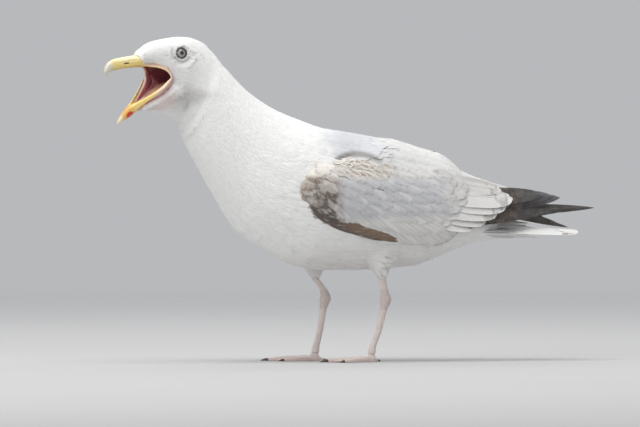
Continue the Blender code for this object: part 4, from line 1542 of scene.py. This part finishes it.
def feathersPrimary():
    paint = Paint("primaryFeathers", Roughness=0.5, Specular_IOR_Level=0.4)
    _, along, out, lines, shaft = barbs(paint, 260, 1.4)
    worn = paint.noise(120, 3.0, roughness=0.6)
    x, _, z = paint.placeIn(everywhere)
    colour = paint.mix(worn.step(0.4, 0.7), (0.080, 0.075, 0.072), (0.155, 0.147, 0.141))
    brown = x.step(196, 178) * worn.step(0.42, 0.55)
    colour = paint.mix(brown * 0.6, colour, (0.24, 0.17, 0.13))
    # the upper part near the tips painted bluish and lighter, a painted reflection of the sky
    sky = z.step(168, 180) * x.step(200, 222)
    colour = paint.mix(sky * 0.6, colour, (0.21, 0.215, 0.235))
    colour = paint.mix(shaft * 0.5, colour, (0.16, 0.13, 0.11))
    rim = (out.step(0.45, 0.5) + along.step(0.95, 1.0)).math("MINIMUM", 1.0)
    colour = paint.mix(rim * 0.3, colour, (0.30, 0.27, 0.24))
    bump = paint.bump(lines * 0.5 + shaft * 2 + worn * 0.4, 0.00025, 0.7)
    return paint.finish(Base_Color=colour, Normal=bump, Roughness=0.42 + 0.2 * worn)


def feathersTail():
    paint = Paint("tailFeathers", Roughness=0.66, Sheen_Weight=0.12)
    _, along, out, lines, shaft = barbs(paint, 220, 1.2)
    tint = paint.attribute("tint")
    marks = paint.noise(1.0, 2.0, paint.stretched((70, 190, 190)))
    under = paint.attribute("kind").step(0.4, 0.5)
    band = along.band(0.80, 0.93, 0.04) * marks.step(0.50, 0.58) * (1 - under)
    colour = paint.mix(band * 0.75, tones["white"], (0.20, 0.17, 0.15))
    colour = paint.mix(out.step(0.42, 0.5) * 0.2, colour, tones["streakAndShade"])
    colour = paint.shade(colour, 0.94 + 0.06 * tint)
    bump = paint.bump(lines * 0.5 + shaft * 2, 0.00025, 0.6)
    return paint.finish(Base_Color=colour, Normal=bump)


def skinFinish():
    # feathered skin is pinkish white; the bare rim of the gape is yellow to pink, the
    # mouth dark red, painted nearly black at the back as the shade deep inside it
    paint = Paint("skinFinish", Roughness=0.6)
    headX, _, headZ = paint.placeIn(headFrame)
    jawX, _, jawZ = paint.placeIn(jawFrame)
    mouth = paint.attribute("mouth").step(0.25, 0.6)
    rim = paint.attribute("rim")
    grain = paint.noise(700, 3.0)
    folds = paint.noise(1.0, 2.0, paint.stretched((260, 260, 700)))
    colour = whiteMarkings(paint)
    colour = paint.mix(paint.attribute("saddle"), colour, mantleMarkings(paint)[0])
    onWing = paint.attribute("wing") * (1 - paint.attribute("saddle"))
    colour = paint.mix(onWing, colour, wingMarkings(paint)[0])
    colour = paint.shade(colour, 0.86 + 0.1 * grain)
    pink = paint.mix(folds, (0.74, 0.48, 0.46), (0.83, 0.63, 0.60))
    yellow = paint.mix(grain, (0.62, 0.47, 0.20), (0.74, 0.60, 0.32))
    upper = headX.step(10, 20) * headZ.step(-19, -14)
    bareColour = paint.mix(upper, pink, yellow)
    colour = paint.mix(rim, colour, bareColour)
    # the back of the mouth painted darker, as shade deep inside it
    deep = headX.step(40, 16)
    inside = paint.mix(deep, (0.50, 0.18, 0.18), (0.30, 0.085, 0.10))
    palate = headZ.step(-21, -14) * headX.step(6, 26)
    inside = paint.mix(palate * 0.8, inside, (0.78, 0.50, 0.44))
    bed = jawZ.band(-12, 6, 3) * jawX.step(34, 56)
    inside = paint.mix(bed * 0.8, inside, (0.50, 0.24, 0.17))
    colour = paint.mix(mouth, colour, inside)
    ridges = (headX * 1.9).math("SINE") * palate
    height = grain * 0.4 + folds * rim * 1.5 + ridges * mouth
    bump = paint.bump(height, 0.0006, 0.8)
    wet = 0.62 - 0.18 * mouth - 0.1 * rim
    return paint.finish(Base_Color=colour, Normal=bump, Roughness=wet)


# The parts of the head
def refined(name, sources, voxel, smoothing, swell=0.0):
    # a fine even mesh of some solids, smoothed
    piece = remeshed(name, copyOfNodes(sources, swell * mm), voxel * mm)
    mesh = piece.data
    setPoints(mesh, smoothed(pointsOf(mesh), edgesOf(mesh), smoothing))
    mesh.shade_smooth()
    return piece


def settle(piece, slot, material, *sources):
    piece.data.materials.clear()
    piece.data.materials.append(material)
    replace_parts(piece, *sources)
    return ridesOnBody(piece)


billLook = {
    "voxel": 0.42, "smoothing": 8,
    "nostril": (66.0, -4.9), "nostrilLong": 4.2, "nostrilHigh": 0.9, "nostrilDeep": 1.5,
    "spot": (87.5, -0.4), "spotLong": 5.0, "spotHigh": 3.4,
}


def billFinish(name, upper):
    paint = Paint(name, Roughness=0.34, Coat_Weight=0.25, Coat_Roughness=0.2)
    x, _, z = paint.placeIn(headFrame if upper else jawFrame)
    grain = paint.noise(1.0, 3.0, paint.stretched((160, 160, 900)))
    scuff = paint.noise(240, 3.0, roughness=0.6)
    horn = paint.mix(grain, (0.88, 0.64, 0.18), (0.94, 0.75, 0.30))
    if upper:
        pale = z.step(-6, 0) * x.step(84, 74)
        horn = paint.mix(pale * 0.75, horn, (0.96, 0.87, 0.56))
        edge = z.step(-7.5, -10.5)
        horn = paint.mix(edge * 0.6, horn, (0.52, 0.40, 0.14))
        tip = x.step(80, 89)
        horn = paint.mix(tip * 0.8, horn, (0.66, 0.65, 0.62))
        # the nostril's slit painted dark, as shade inside the opening
        hole = ((x - billLook["nostril"][0]) / billLook["nostrilLong"], (
            z - billLook["nostril"][1]) / billLook["nostrilHigh"])
        slit = (hole[0] * hole[0] + hole[1] * hole[1]).step(1.0, 0.5)
        horn = paint.mix(slit * 0.9, horn, (0.10, 0.07, 0.05))
    else:
        warm = x.step(76, 86)
        horn = paint.mix(warm * 0.7, horn, (0.80, 0.36, 0.08))
        spot = ((x - billLook["spot"][0]) / billLook["spotLong"], (
            z - billLook["spot"][1]) / billLook["spotHigh"])
        red = (spot[0] * spot[0] + spot[1] * spot[1] + 0.3 * scuff).step(1.35, 0.75)
        horn = paint.mix(red, horn, (0.62, 0.035, 0.012))
        tip = x.step(93, 99)
        horn = paint.mix(tip * 0.9, horn, (0.84, 0.74, 0.50))
        under = z.step(1.5, -2.5) * x.band(60, 96, 6)
        horn = paint.mix(under * 0.25, horn, (0.55, 0.32, 0.16))
        base = x.step(60, 44)
        horn = paint.mix(base * 0.85, horn, (0.82, 0.66, 0.50))
    horn = paint.shade(horn, 0.88 + 0.22 * scuff)
    bump = paint.bump(grain * 0.6 + scuff, 0.0003, 0.5)
    return paint.finish(Base_Color=horn, Normal=bump, Roughness=0.26 + 0.25 * scuff)


def makeUpperBill():
    piece = refined("upperBill", ["bill_upper"], billLook["voxel"], billLook["smoothing"])
    mesh = piece.data
    points, normals = pointsOf(mesh), normalsOf(mesh)
    x, y, z = local(points, headFrame).T
    nx = (x - billLook["nostril"][0]) / billLook["nostrilLong"]
    nz = (z - billLook["nostril"][1]) / billLook["nostrilHigh"]
    slit = ramp(nx * nx + nz * nz, 1.3, 0.35) * (np.abs(y) > 2)
    groove = ramp(np.abs(z + 3.4 + 0.05 * (x - 66)), 1.6, 0) * ramp(x, 50, 58) * ramp(x, 80, 70)
    lip = ramp(z, -9.4, -10.4) * (x > 46)
    depth = (billLook["nostrilDeep"] * slit + 0.35 * groove * (np.abs(y) > 2)
             - 0.22 * lip) * mm
    setPoints(mesh, points - normals * depth[:, None])
    return settle(piece, "bill_horn", billFinish("upperHorn", True), "bill_upper")


def makeLowerBill():
    piece = refined("lowerBill", ["bill_lower"], billLook["voxel"], billLook["smoothing"])
    mesh = piece.data
    points, normals = pointsOf(mesh), normalsOf(mesh)
    x, _, z = local(points, jawFrame).T
    groove = ramp(np.abs(z - 2.6), 0.9, 0) * ramp(x, 40, 52) * ramp(x, 92, 80)
    setPoints(mesh, points - normals * (0.28 * groove * mm)[:, None])
    return settle(piece, "bill_horn", billFinish("lowerHorn", False), "bill_lower")


def makeTongue():
    piece = refined("tongueFlesh", ["tongue"], 0.4, 8)
    mesh = piece.data
    points, normals = pointsOf(mesh), normalsOf(mesh)
    x, y, z = local(points, jawFrame).T
    furrow = ramp(np.abs(y), 1.3, 0) * (normals[:, 2] > 0.2)
    barbed = ramp(np.abs(x - 31 - 0.25 * np.abs(y)), 1.4, 0.2) * (z > -2)
    depth = (0.7 * furrow - 0.9 * barbed * (0.5 + 0.5 * np.sin(y * 3.4))) * mm
    setPoints(mesh, points - normals * depth[:, None])
    paint = Paint("tongueFinish", Roughness=0.35, Coat_Weight=0.3, Coat_Roughness=0.25)
    x, y, _ = paint.placeIn(jawFrame)
    grain = paint.noise(600, 3.0)
    flesh = paint.mix(grain, (0.55, 0.30, 0.18), (0.66, 0.42, 0.27))
    # painted darker towards its root, as shade at the back of the mouth
    flesh = paint.mix(x.step(40, 28) * 0.6, flesh, (0.30, 0.10, 0.09))
    flesh = paint.mix(y.math("ABSOLUTE").step(1.6, 0.2) * 0.4, flesh, (0.36, 0.16, 0.11))
    bump = paint.bump(grain, 0.0004, 0.7)
    return settle(piece, "mouth_skin", paint.finish(Base_Color=flesh, Normal=bump), "tongue")


def eyeFinish(label):
    paint = Paint("eyeFinish_" + label, Roughness=0.12, Coat_Weight=1.0, Coat_Roughness=0.02)
    x, y, z = paint.placeIn(eyeFrame(label))
    out = (x * x + y * y).math("POWER", 0.5)
    around = y.math("ARCTAN2", x)
    rays = paint.node("ShaderNodeTexNoise", {"noise_dimensions": "1D"}, {
        "W": around * 9 + out * 0.2, "Scale": 1.0, "Detail": 3.0})
    flecks = paint.noise(1600, 2.0)
    iris = paint.mix(rays, (0.24, 0.235, 0.21), (0.44, 0.435, 0.395))
    iris = paint.mix(flecks.step(0.58, 0.7) * 0.5, iris, (0.24, 0.22, 0.18))
    iris = paint.mix(out.step(eyeLook["iris"] - 1.2, eyeLook["iris"]) * 0.75, iris,
                     (0.16, 0.15, 0.13))
    iris = paint.mix(out.step(eyeLook["pupil"] + 1.2, eyeLook["pupil"]) * 0.7, iris,
                     (0.14, 0.13, 0.11))
    # the upper iris painted darker, as shade under the lid
    iris = paint.mix(y.step(-0.5, 3.6) * 0.62, iris, (0.07, 0.065, 0.06))
    colour = paint.mix(out.step(eyeLook["pupil"] + 0.12, eyeLook["pupil"] - 0.1), iris,
                       (0.004, 0.004, 0.004))
    colour = paint.mix(out.step(eyeLook["iris"] - 0.1, eyeLook["iris"] + 0.25), colour,
                       (0.02, 0.016, 0.014))
    back = z.step(0.5, -0.5)
    return paint.finish(Base_Color=paint.mix(back, colour, (0.02, 0.016, 0.014)))


def makeEye(label):
    place = eyeFrame(label)
    mesh = bmesh.new()
    bmesh.ops.create_uvsphere(mesh, u_segments=48, v_segments=32, radius=eyeRadius(label))
    for vertex in mesh.verts:
        off = math.hypot(vertex.co.x, vertex.co.y) / mm
        if vertex.co.z > 0:
            vertex.co.z += eyeLook["bulge"] * mm * float(ramp(np.float64(off), 5.4, 0.5))
    bmesh.ops.transform(mesh, matrix=place, verts=mesh.verts)
    data = meshFrom(mesh, "eyeBall")
    data.shade_smooth()
    return settle(newObject(f"eyeball_{label}", data), "eye", eyeFinish(label), f"eye_{label}")


# The lids' section: distance outside the opening, height along the gaze; where the height
# is left out the lid runs over the eyeball down to the skin
lidSection = [(-0.15, 5.5), (-0.2, 6.3), (0.1, 6.85), (0.6, 7.0), (1.1, 6.75), (1.5, 6.2),
              (1.85, None), (2.3, None), (2.2, 1.5), (1.0, 3.2)]
lidLook = {
    "steps": 72, "pleats": 18, "pleatDeep": 0.07,
    "corner": 0.45,            # how far the opening is drawn out at its two corners
    "reach": 2.3,              # where the rim meets the skin, outside the opening
    "level": 6.1, "sunk": 0.35, "overBall": 0.4,
}


def lidFinish(label):
    paint = Paint("lidFinish_" + label, Roughness=0.5)
    x, y, _ = paint.placeIn(eyeFrame(label))
    out = (x * x + y * y).math("POWER", 0.5)
    grain = paint.noise(1500, 2.0)
    dark = paint.mix(grain, (0.035, 0.031, 0.030), (0.095, 0.083, 0.078))
    below = y.step(-3.5, -5.5) * out.step(5.9, 6.5)
    colour = paint.mix(below * 0.3, dark, (0.62, 0.42, 0.40))
    colour = paint.mix(out.step(eyeLook["ring"] - 0.3, eyeLook["ring"] + 0.5), colour,
                       (0.80, 0.79, 0.78))
    return paint.finish(Base_Color=colour, Normal=paint.bump(grain, 0.0003, 0.6))


def skinHeight(place, x, y):
    start = place @ (Vector((x, y, 24)) * mm)
    hit, _, _, _ = skinTree.ray_cast(start, -(place.to_3x3() @ Vector((0, 0, 1))), 30 * mm)
    return (place.inverted() @ hit).z / mm if hit else 2.0


def lidHeight(place, radius, x, y, rim, share):
    # from the lids' edge down to the skin at their rim, but always over the eyeball
    top = lidLook["level"]
    level = top + (skinHeight(place, *rim) - lidLook["sunk"] - top) * share
    ball = math.sqrt(max(radius ** 2 - x * x - y * y, 0.0))
    return max(level, ball + lidLook["overBall"])


def makeLids(label):
    radius = eyeRadius(label) / mm
    place = eyeFrame(label)
    steps = lidLook["steps"]
    mesh = bmesh.new()
    rings = []
    for i in range(steps):
        a = 2 * math.pi * i / steps
        pleat = lidLook["pleatDeep"] * math.sin(lidLook["pleats"] * a)
        c, s = math.cos(a), math.sin(a)
        corner = lidLook["corner"] * abs(c) ** 6
        rim = ((eyeLook["lidLong"] + lidLook["reach"]) * c,
               (eyeLook["lidHigh"] + lidLook["reach"]) * s)
        ring = []
        for k, (out, height) in enumerate(lidSection):
            more = out + (pleat if 1 < k < 6 else 0)
            x = (eyeLook["lidLong"] + corner + more) * c
            y = (eyeLook["lidHigh"] + more) * s
            if height is None:
                height = lidHeight(place, radius, x, y, rim, (out - 1.5) / 0.8)
            ring.append(mesh.verts.new(place @ (Vector((x, y, height)) * mm)))
        rings.append(ring)
    count = len(lidSection)
    for i in range(steps):
        near, far = rings[i], rings[(i + 1) % steps]
        for k in range(count):
            m = (k + 1) % count
            mesh.faces.new((near[k], far[k], far[m], near[m]))
    bmesh.ops.recalc_face_normals(mesh, faces=mesh.faces)
    data = meshFrom(mesh, "lids")
    data.shade_smooth()
    ridesOnBody(newObject(f"lids_{label}", data, lidFinish(label)))


# The skin of the gape: its lip from the bill back to the corner and down along the lower
# bill, and where it grows out of the skin; x, half width, z in the head's or the jaw's axes
gapePath = [
    ("head", (46, 7.4, -9.4), (44, 6.0, -6.5)), ("head", (41, 8.8, -10.8), (40, 7.0, -8)),
    ("head", (35, 10.8, -11.8), (35, 8.5, -9)), ("head", (29, 13.8, -13.2), (29, 11, -10)),
    ("head", (24, 17.0, -15.4), (24, 14, -12)), ("head", (20.6, 20.2, -18.6), (20, 17, -15)),
    ("head", (18.9, 22.6, -22.6), (16, 19, -19)), ("head", (18.8, 23.5, -26.4), (13, 20, -25)),
    ("jaw", (33, 22.4, 5.0), (24, 18, 1)), ("jaw", (38, 20.8, 3.8), (32, 17, -3)),
    ("jaw", (44, 18.8, 2.6), (41, 16, -3)), ("jaw", (51, 16.0, 1.8), (49, 14, -3)),
    ("jaw", (58, 12.8, 1.2), (57, 11, -2)), ("jaw", (65, 9.2, 0.6), (64.5, 8.6, -1.5)),
]
gapeLook = {"thick": 0.65, "across": 6, "between": 4, "sag": 1.3, "buried": 1.2}


def gapeRows(label):
    side = -sides[label]
    frames = {"head": headFrame, "jaw": jawFrame}
    lips, roots = [], []
    for axes, lip, root in gapePath:
        lips.append(frames[axes] @ mirrored(lip, side))
        near, normal, _, _ = skinTree.find_nearest(frames[axes] @ mirrored(root, side))
        roots.append(near - normal * gapeLook["buried"] * mm)
    fine = np.linspace(0, len(lips) - 1, (len(lips) - 1) * gapeLook["between"] + 1)
    steps = np.arange(len(lips))
    pair = []
    for row in (lips, roots):
        row = np.array([tuple(p) for p in row])
        row = np.stack([np.interp(fine, steps, row[:, k]) for k in range(3)], axis=1)
        for _ in range(4):
            row[1:-1] += 0.5 * ((row[:-2] + row[2:]) / 2 - row[1:-1])
        pair.append(row)
    return side, pair[0], pair[1]


def makeGape(label, finish):
    side, lips, roots = gapeRows(label)
    outward = np.array(headFrame.to_3x3() @ Vector((0, side, 0)))
    count = gapeLook["across"]
    points, faces, inner, lipped = [], [], [], []
    for i, (lip, root) in enumerate(zip(lips, roots)):
        run = lips[min(i + 1, len(lips) - 1)] - lips[max(i - 1, 0)]
        face = np.cross(run, lip - root)
        face /= max(np.linalg.norm(face), 1e-9)
        face = face * (1 if face @ outward > 0 else -1)
        outer, inside = [], []
        for k in range(count + 1):
            t = k / count
            middle = root + (lip - root) * t
            middle = middle - face * gapeLook["sag"] * mm * 4 * t * (1 - t) * (1 - 0.5 * t)
            half = gapeLook["thick"] * mm * (1.0 + 0.5 * ramp(np.float64(t), 0.6, 0.85))
            half *= 0.35 if k == count else 1.0
            outer.append((tuple(middle + face * half), 0.0, t))
            inside.append((tuple(middle - face * half), 1.0, t))
        for point, deep, t in outer + inside[::-1]:
            points.append(point)
            inner.append(deep)
            lipped.append(t)
    ring = 2 * (count + 1)
    for i in range(len(lips) - 1):
        a, b = i * ring, (i + 1) * ring
        for k in range(ring):
            m = (k + 1) % ring
            faces.append((a + k, a + m, b + m, b + k))
    end = (len(lips) - 1) * ring
    faces.append(tuple(range(ring)))
    faces.append(tuple(range(end + ring - 1, end - 1, -1)))
    data = bpy.data.meshes.new("gape")
    data.from_pydata(points, [], faces)
    turnOutward(data)
    for key, values in (("inner", inner), ("lip", lipped)):
        data.attributes.new(key, "FLOAT", "POINT").data.foreach_set("value", values)
    ridesOnBody(newObject(f"gape_{label}", data, finish))


def gapeFinish():
    paint = Paint("gapeFinish", Roughness=0.45)
    x, _, z = paint.placeIn(headFrame)
    grain = paint.noise(700, 3.0)
    folds = paint.noise(1.0, 3.0, paint.stretched((320, 320, 900)))
    inner = paint.attribute("inner").step(0.4, 0.6)
    lip = paint.attribute("lip")
    outside = paint.mix(folds, (0.74, 0.46, 0.45), (0.85, 0.65, 0.62))
    corner = x.step(30, 22) * z.band(-40, -18, 4)
    outside = paint.mix(corner * 0.55, outside, (0.55, 0.35, 0.37))
    inside = paint.mix(folds, (0.34, 0.07, 0.095), (0.54, 0.16, 0.19))
    # the inner side painted darker towards the back, as shade deep in the gape
    inside = paint.mix(x.step(26, 14), inside, (0.26, 0.065, 0.085))
    colour = paint.mix(inner, outside, inside)
    cream = paint.mix(grain, (0.74, 0.55, 0.44), (0.84, 0.68, 0.56))
    yellow = paint.mix(grain, (0.70, 0.55, 0.20), (0.82, 0.70, 0.34))
    edge = paint.mix(z.step(-21, -16), cream, yellow)
    colour = paint.mix(lip.step(0.62, 0.82), colour, edge)
    return paint.finish(Base_Color=colour, Normal=paint.bump(folds + grain * 0.5, 0.0005, 0.8))


# Legs, feet and claws
legLook = {"voxel": 0.75, "smoothing": 5, "scutes": 3.1, "scuteDepth": 0.22}


def legFinish():
    paint = Paint("legFinish", Roughness=0.5)
    _, _, z = paint.placeIn(everywhere)
    cells = paint.node("ShaderNodeTexVoronoi", {"feature": "DISTANCE_TO_EDGE"},
                       {"Vector": paint.place(), "Scale": 620.0})
    scales = cells.step(0.0, 0.12)
    broad = paint.noise(120, 3.0)
    colour = paint.mix(broad, (0.78, 0.68, 0.64), (0.88, 0.81, 0.77))
    colour = paint.mix(scales, (0.70, 0.59, 0.55), colour)
    joint = z.band(60, 76, 6)
    colour = paint.mix(joint * 0.35, colour, (0.46, 0.36, 0.34))
    web = z.step(5, 2.5)
    colour = paint.mix(web * 0.35, colour, (0.60, 0.38, 0.34))
    plates = (z * (2 * math.pi / legLook["scutes"])).math("SINE") * z.step(10, 16)
    height = scales * 0.7 + plates * 0.3 + broad * 0.4
    return paint.finish(Base_Color=colour, Normal=paint.bump(height, 0.0005, 0.8),
                        Roughness=0.42 + 0.2 * broad)


def makeLeg(label, finish):
    names = [f"leg_{label}", f"foot_{label}"]
    piece = refined(f"legSkin_{label}", names, legLook["voxel"], legLook["smoothing"], 0.3)
    mesh = piece.data
    points, normals = pointsOf(mesh), normalsOf(mesh)
    _, _, z = millimetres(points)
    front = ramp(-normals[:, 0], 0.1, 0.7) * ramp(z, 12, 18) * ramp(z, 88, 80)
    steps = np.mod(z / legLook["scutes"], 1.0)
    plate = (steps - 0.5) * front * legLook["scuteDepth"]
    points = points - normals * ((0.3 - plate) * mm)[:, None]
    points[:, 2] = np.maximum(points[:, 2], 0.0)
    sole = points[:, 2] < 0.45 * mm
    points[sole, 2] = 0.0
    setPoints(mesh, points)
    return settle(piece, "leg_skin", finish, *names)


def clawFinish():
    paint = Paint("clawFinish", Roughness=0.35)
    grain = paint.noise(900, 3.0)
    colour = paint.mix(grain, (0.030, 0.024, 0.020), (0.10, 0.08, 0.065))
    return paint.finish(Base_Color=colour, Normal=paint.bump(grain, 0.0003, 0.6),
                        Roughness=0.25 + 0.3 * grain)


white = feathersWhite()
mantle = feathersMantle()
wingPaint = feathersWing()
skin.data.materials.clear()
skin.data.materials.append(skinFinish())
coats = {
    "coatFace": ("white_plumage", {"mask": "faceMask", "spacing": 1.1, "long": 4.2, "wide": 1.9,
                                   "tilt": 5.5, "unruly": 8, "sink": 0.05, "seed": 11}),
    "coatEye": ("white_plumage", {"mask": "eyeMask", "spacing": 0.6, "long": 2.3, "wide": 1.1,
                                  "tilt": 5, "unruly": 9, "sink": 0.03, "seed": 15}),
    "coatHead": ("white_plumage", {"mask": "headMask", "spacing": 1.55, "long": 6.6, "wide": 2.9,
                                   "tilt": 5.5, "unruly": 8, "sink": 0.05, "seed": 21}),
    "coatNeck": ("white_plumage", {"mask": "neckMask", "spacing": 2.3, "long": 10.0, "wide": 5.0,
                                   "tilt": 5, "unruly": 7, "sink": 0.1, "seed": 31}),
    "coatBody": ("white_plumage", {"mask": "bodyMask", "spacing": 3.0, "long": 13.0, "wide": 7.0,
                                   "tilt": 5, "unruly": 6, "sink": 0.1, "seed": 41}),
    "coatVent": ("white_plumage", {"mask": "ventMask", "spacing": 3.6, "long": 22.0, "wide": 10.0,
                                   "tilt": 4, "unruly": 5, "sink": 0.2, "seed": 51}),
    "coatThigh": ("white_plumage", {"mask": "thighMask", "spacing": 1.6, "long": 7.4, "wide": 3.3,
                                    "tilt": 3.0, "unruly": 5, "sink": 0.1, "seed": 61}),
    "coatMantle": ("grey_plumage", {"mask": "mantleMask", "spacing": 3.1, "long": 14.0,
                                    "wide": 8.5, "tilt": 3.2, "unruly": 3, "sink": 0.1,
                                    "seed": 71, "vane": roundVane, "close": 2.4}),
    "coatBend": ("grey_plumage", {"mask": "bendMask", "spacing": 2.5, "long": 9.5, "wide": 5.5,
                                  "tilt": 7, "unruly": 6, "sink": 0.1, "seed": 91}),
}
finishes = {"coatMantle": mantle, "coatBend": wingPaint}
for name, (slot, look) in coats.items():
    makeCoat(name, look, finishes.get(name, white))
for shape in (roundVane, looseVane):
    bpy.data.objects.remove(shape, do_unlink=True)
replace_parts(skin, *[n for n in skinLook["flesh"] if not n.startswith("wing")])
ridesOnBody(skin)

tertialPaint = feathersTertial()
primaryPaint = feathersPrimary()
jitter = np.random.default_rng(5)
for label, side in sides.items():
    batch = Batch()
    layWingRows(batch, side, jitter)
    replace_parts(batch.piece(f"wingCoverts_{label}", "grey_plumage", wingPaint), f"wing_{label}")
    batch = Batch()
    layEdges(batch, side, jitter)
    batch.piece(f"tertials_{label}", "grey_plumage", tertialPaint, True)
    batch = Batch()
    layScapulars(batch, side, jitter)
    batch.piece(f"scapulars_{label}", "grey_plumage", mantle)
    batch = Batch()
    layPrimaries(batch, label)
    made = batch.piece(f"primaryFan_{label}", "dark_flight_feathers", primaryPaint, True)
    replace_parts(made, f"primaries_{label}")
batch = Batch()
layRump(batch, jitter)
batch.piece("rumpFeathers", "grey_plumage", mantle)
batch = Batch()
layTail(batch)
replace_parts(batch.piece("tailFan", "tail_feathers", feathersTail(), True), "tail")
makeUpperBill()
gapePaint = gapeFinish()
makeLowerBill()
makeTongue()
legPaint = legFinish()
clawPaint = clawFinish()
for label in sides:
    makeEye(label)
    makeLids(label)
    makeGape(label, gapePaint)
    makeLeg(label, legPaint)
    claws = [name for name in nodes if name.startswith("claw_") and name.endswith(label)]
    settle(refined(f"claws_{label}", claws, 0.35, 3), "claw_horn", clawPaint, *claws)
print("head, legs and claws made")


floorLook = {"near": 1.1, "far": 4.2, "size": 6.0, "colour": (0.50, 0.50, 0.50)}


def makeFloor():
    # a pale floor that fades into the studio's own light at its rim
    size = floorLook["size"]
    corners = [(-size, -size, 0), (size, -size, 0), (size, size, 0), (-size, size, 0)]
    mesh = bpy.data.meshes.new("floor")
    mesh.from_pydata(corners, [], [(0, 1, 2, 3)])
    paint = Paint("floorFinish", Roughness=0.9, Specular_IOR_Level=0.1)
    away = paint.node("ShaderNodeVectorMath", {"operation": "LENGTH"}, {0: paint.place()}, "Value")
    soft = paint.noise(3.0, 2.0)
    colour = paint.shade(floorLook["colour"], 0.97 + 0.06 * soft)
    fade = away.step(floorLook["far"], floorLook["near"])
    newObject("floor", mesh, paint.finish(Base_Color=colour, Alpha=fade))


makeFloor()
makeCamera()
makeLights()
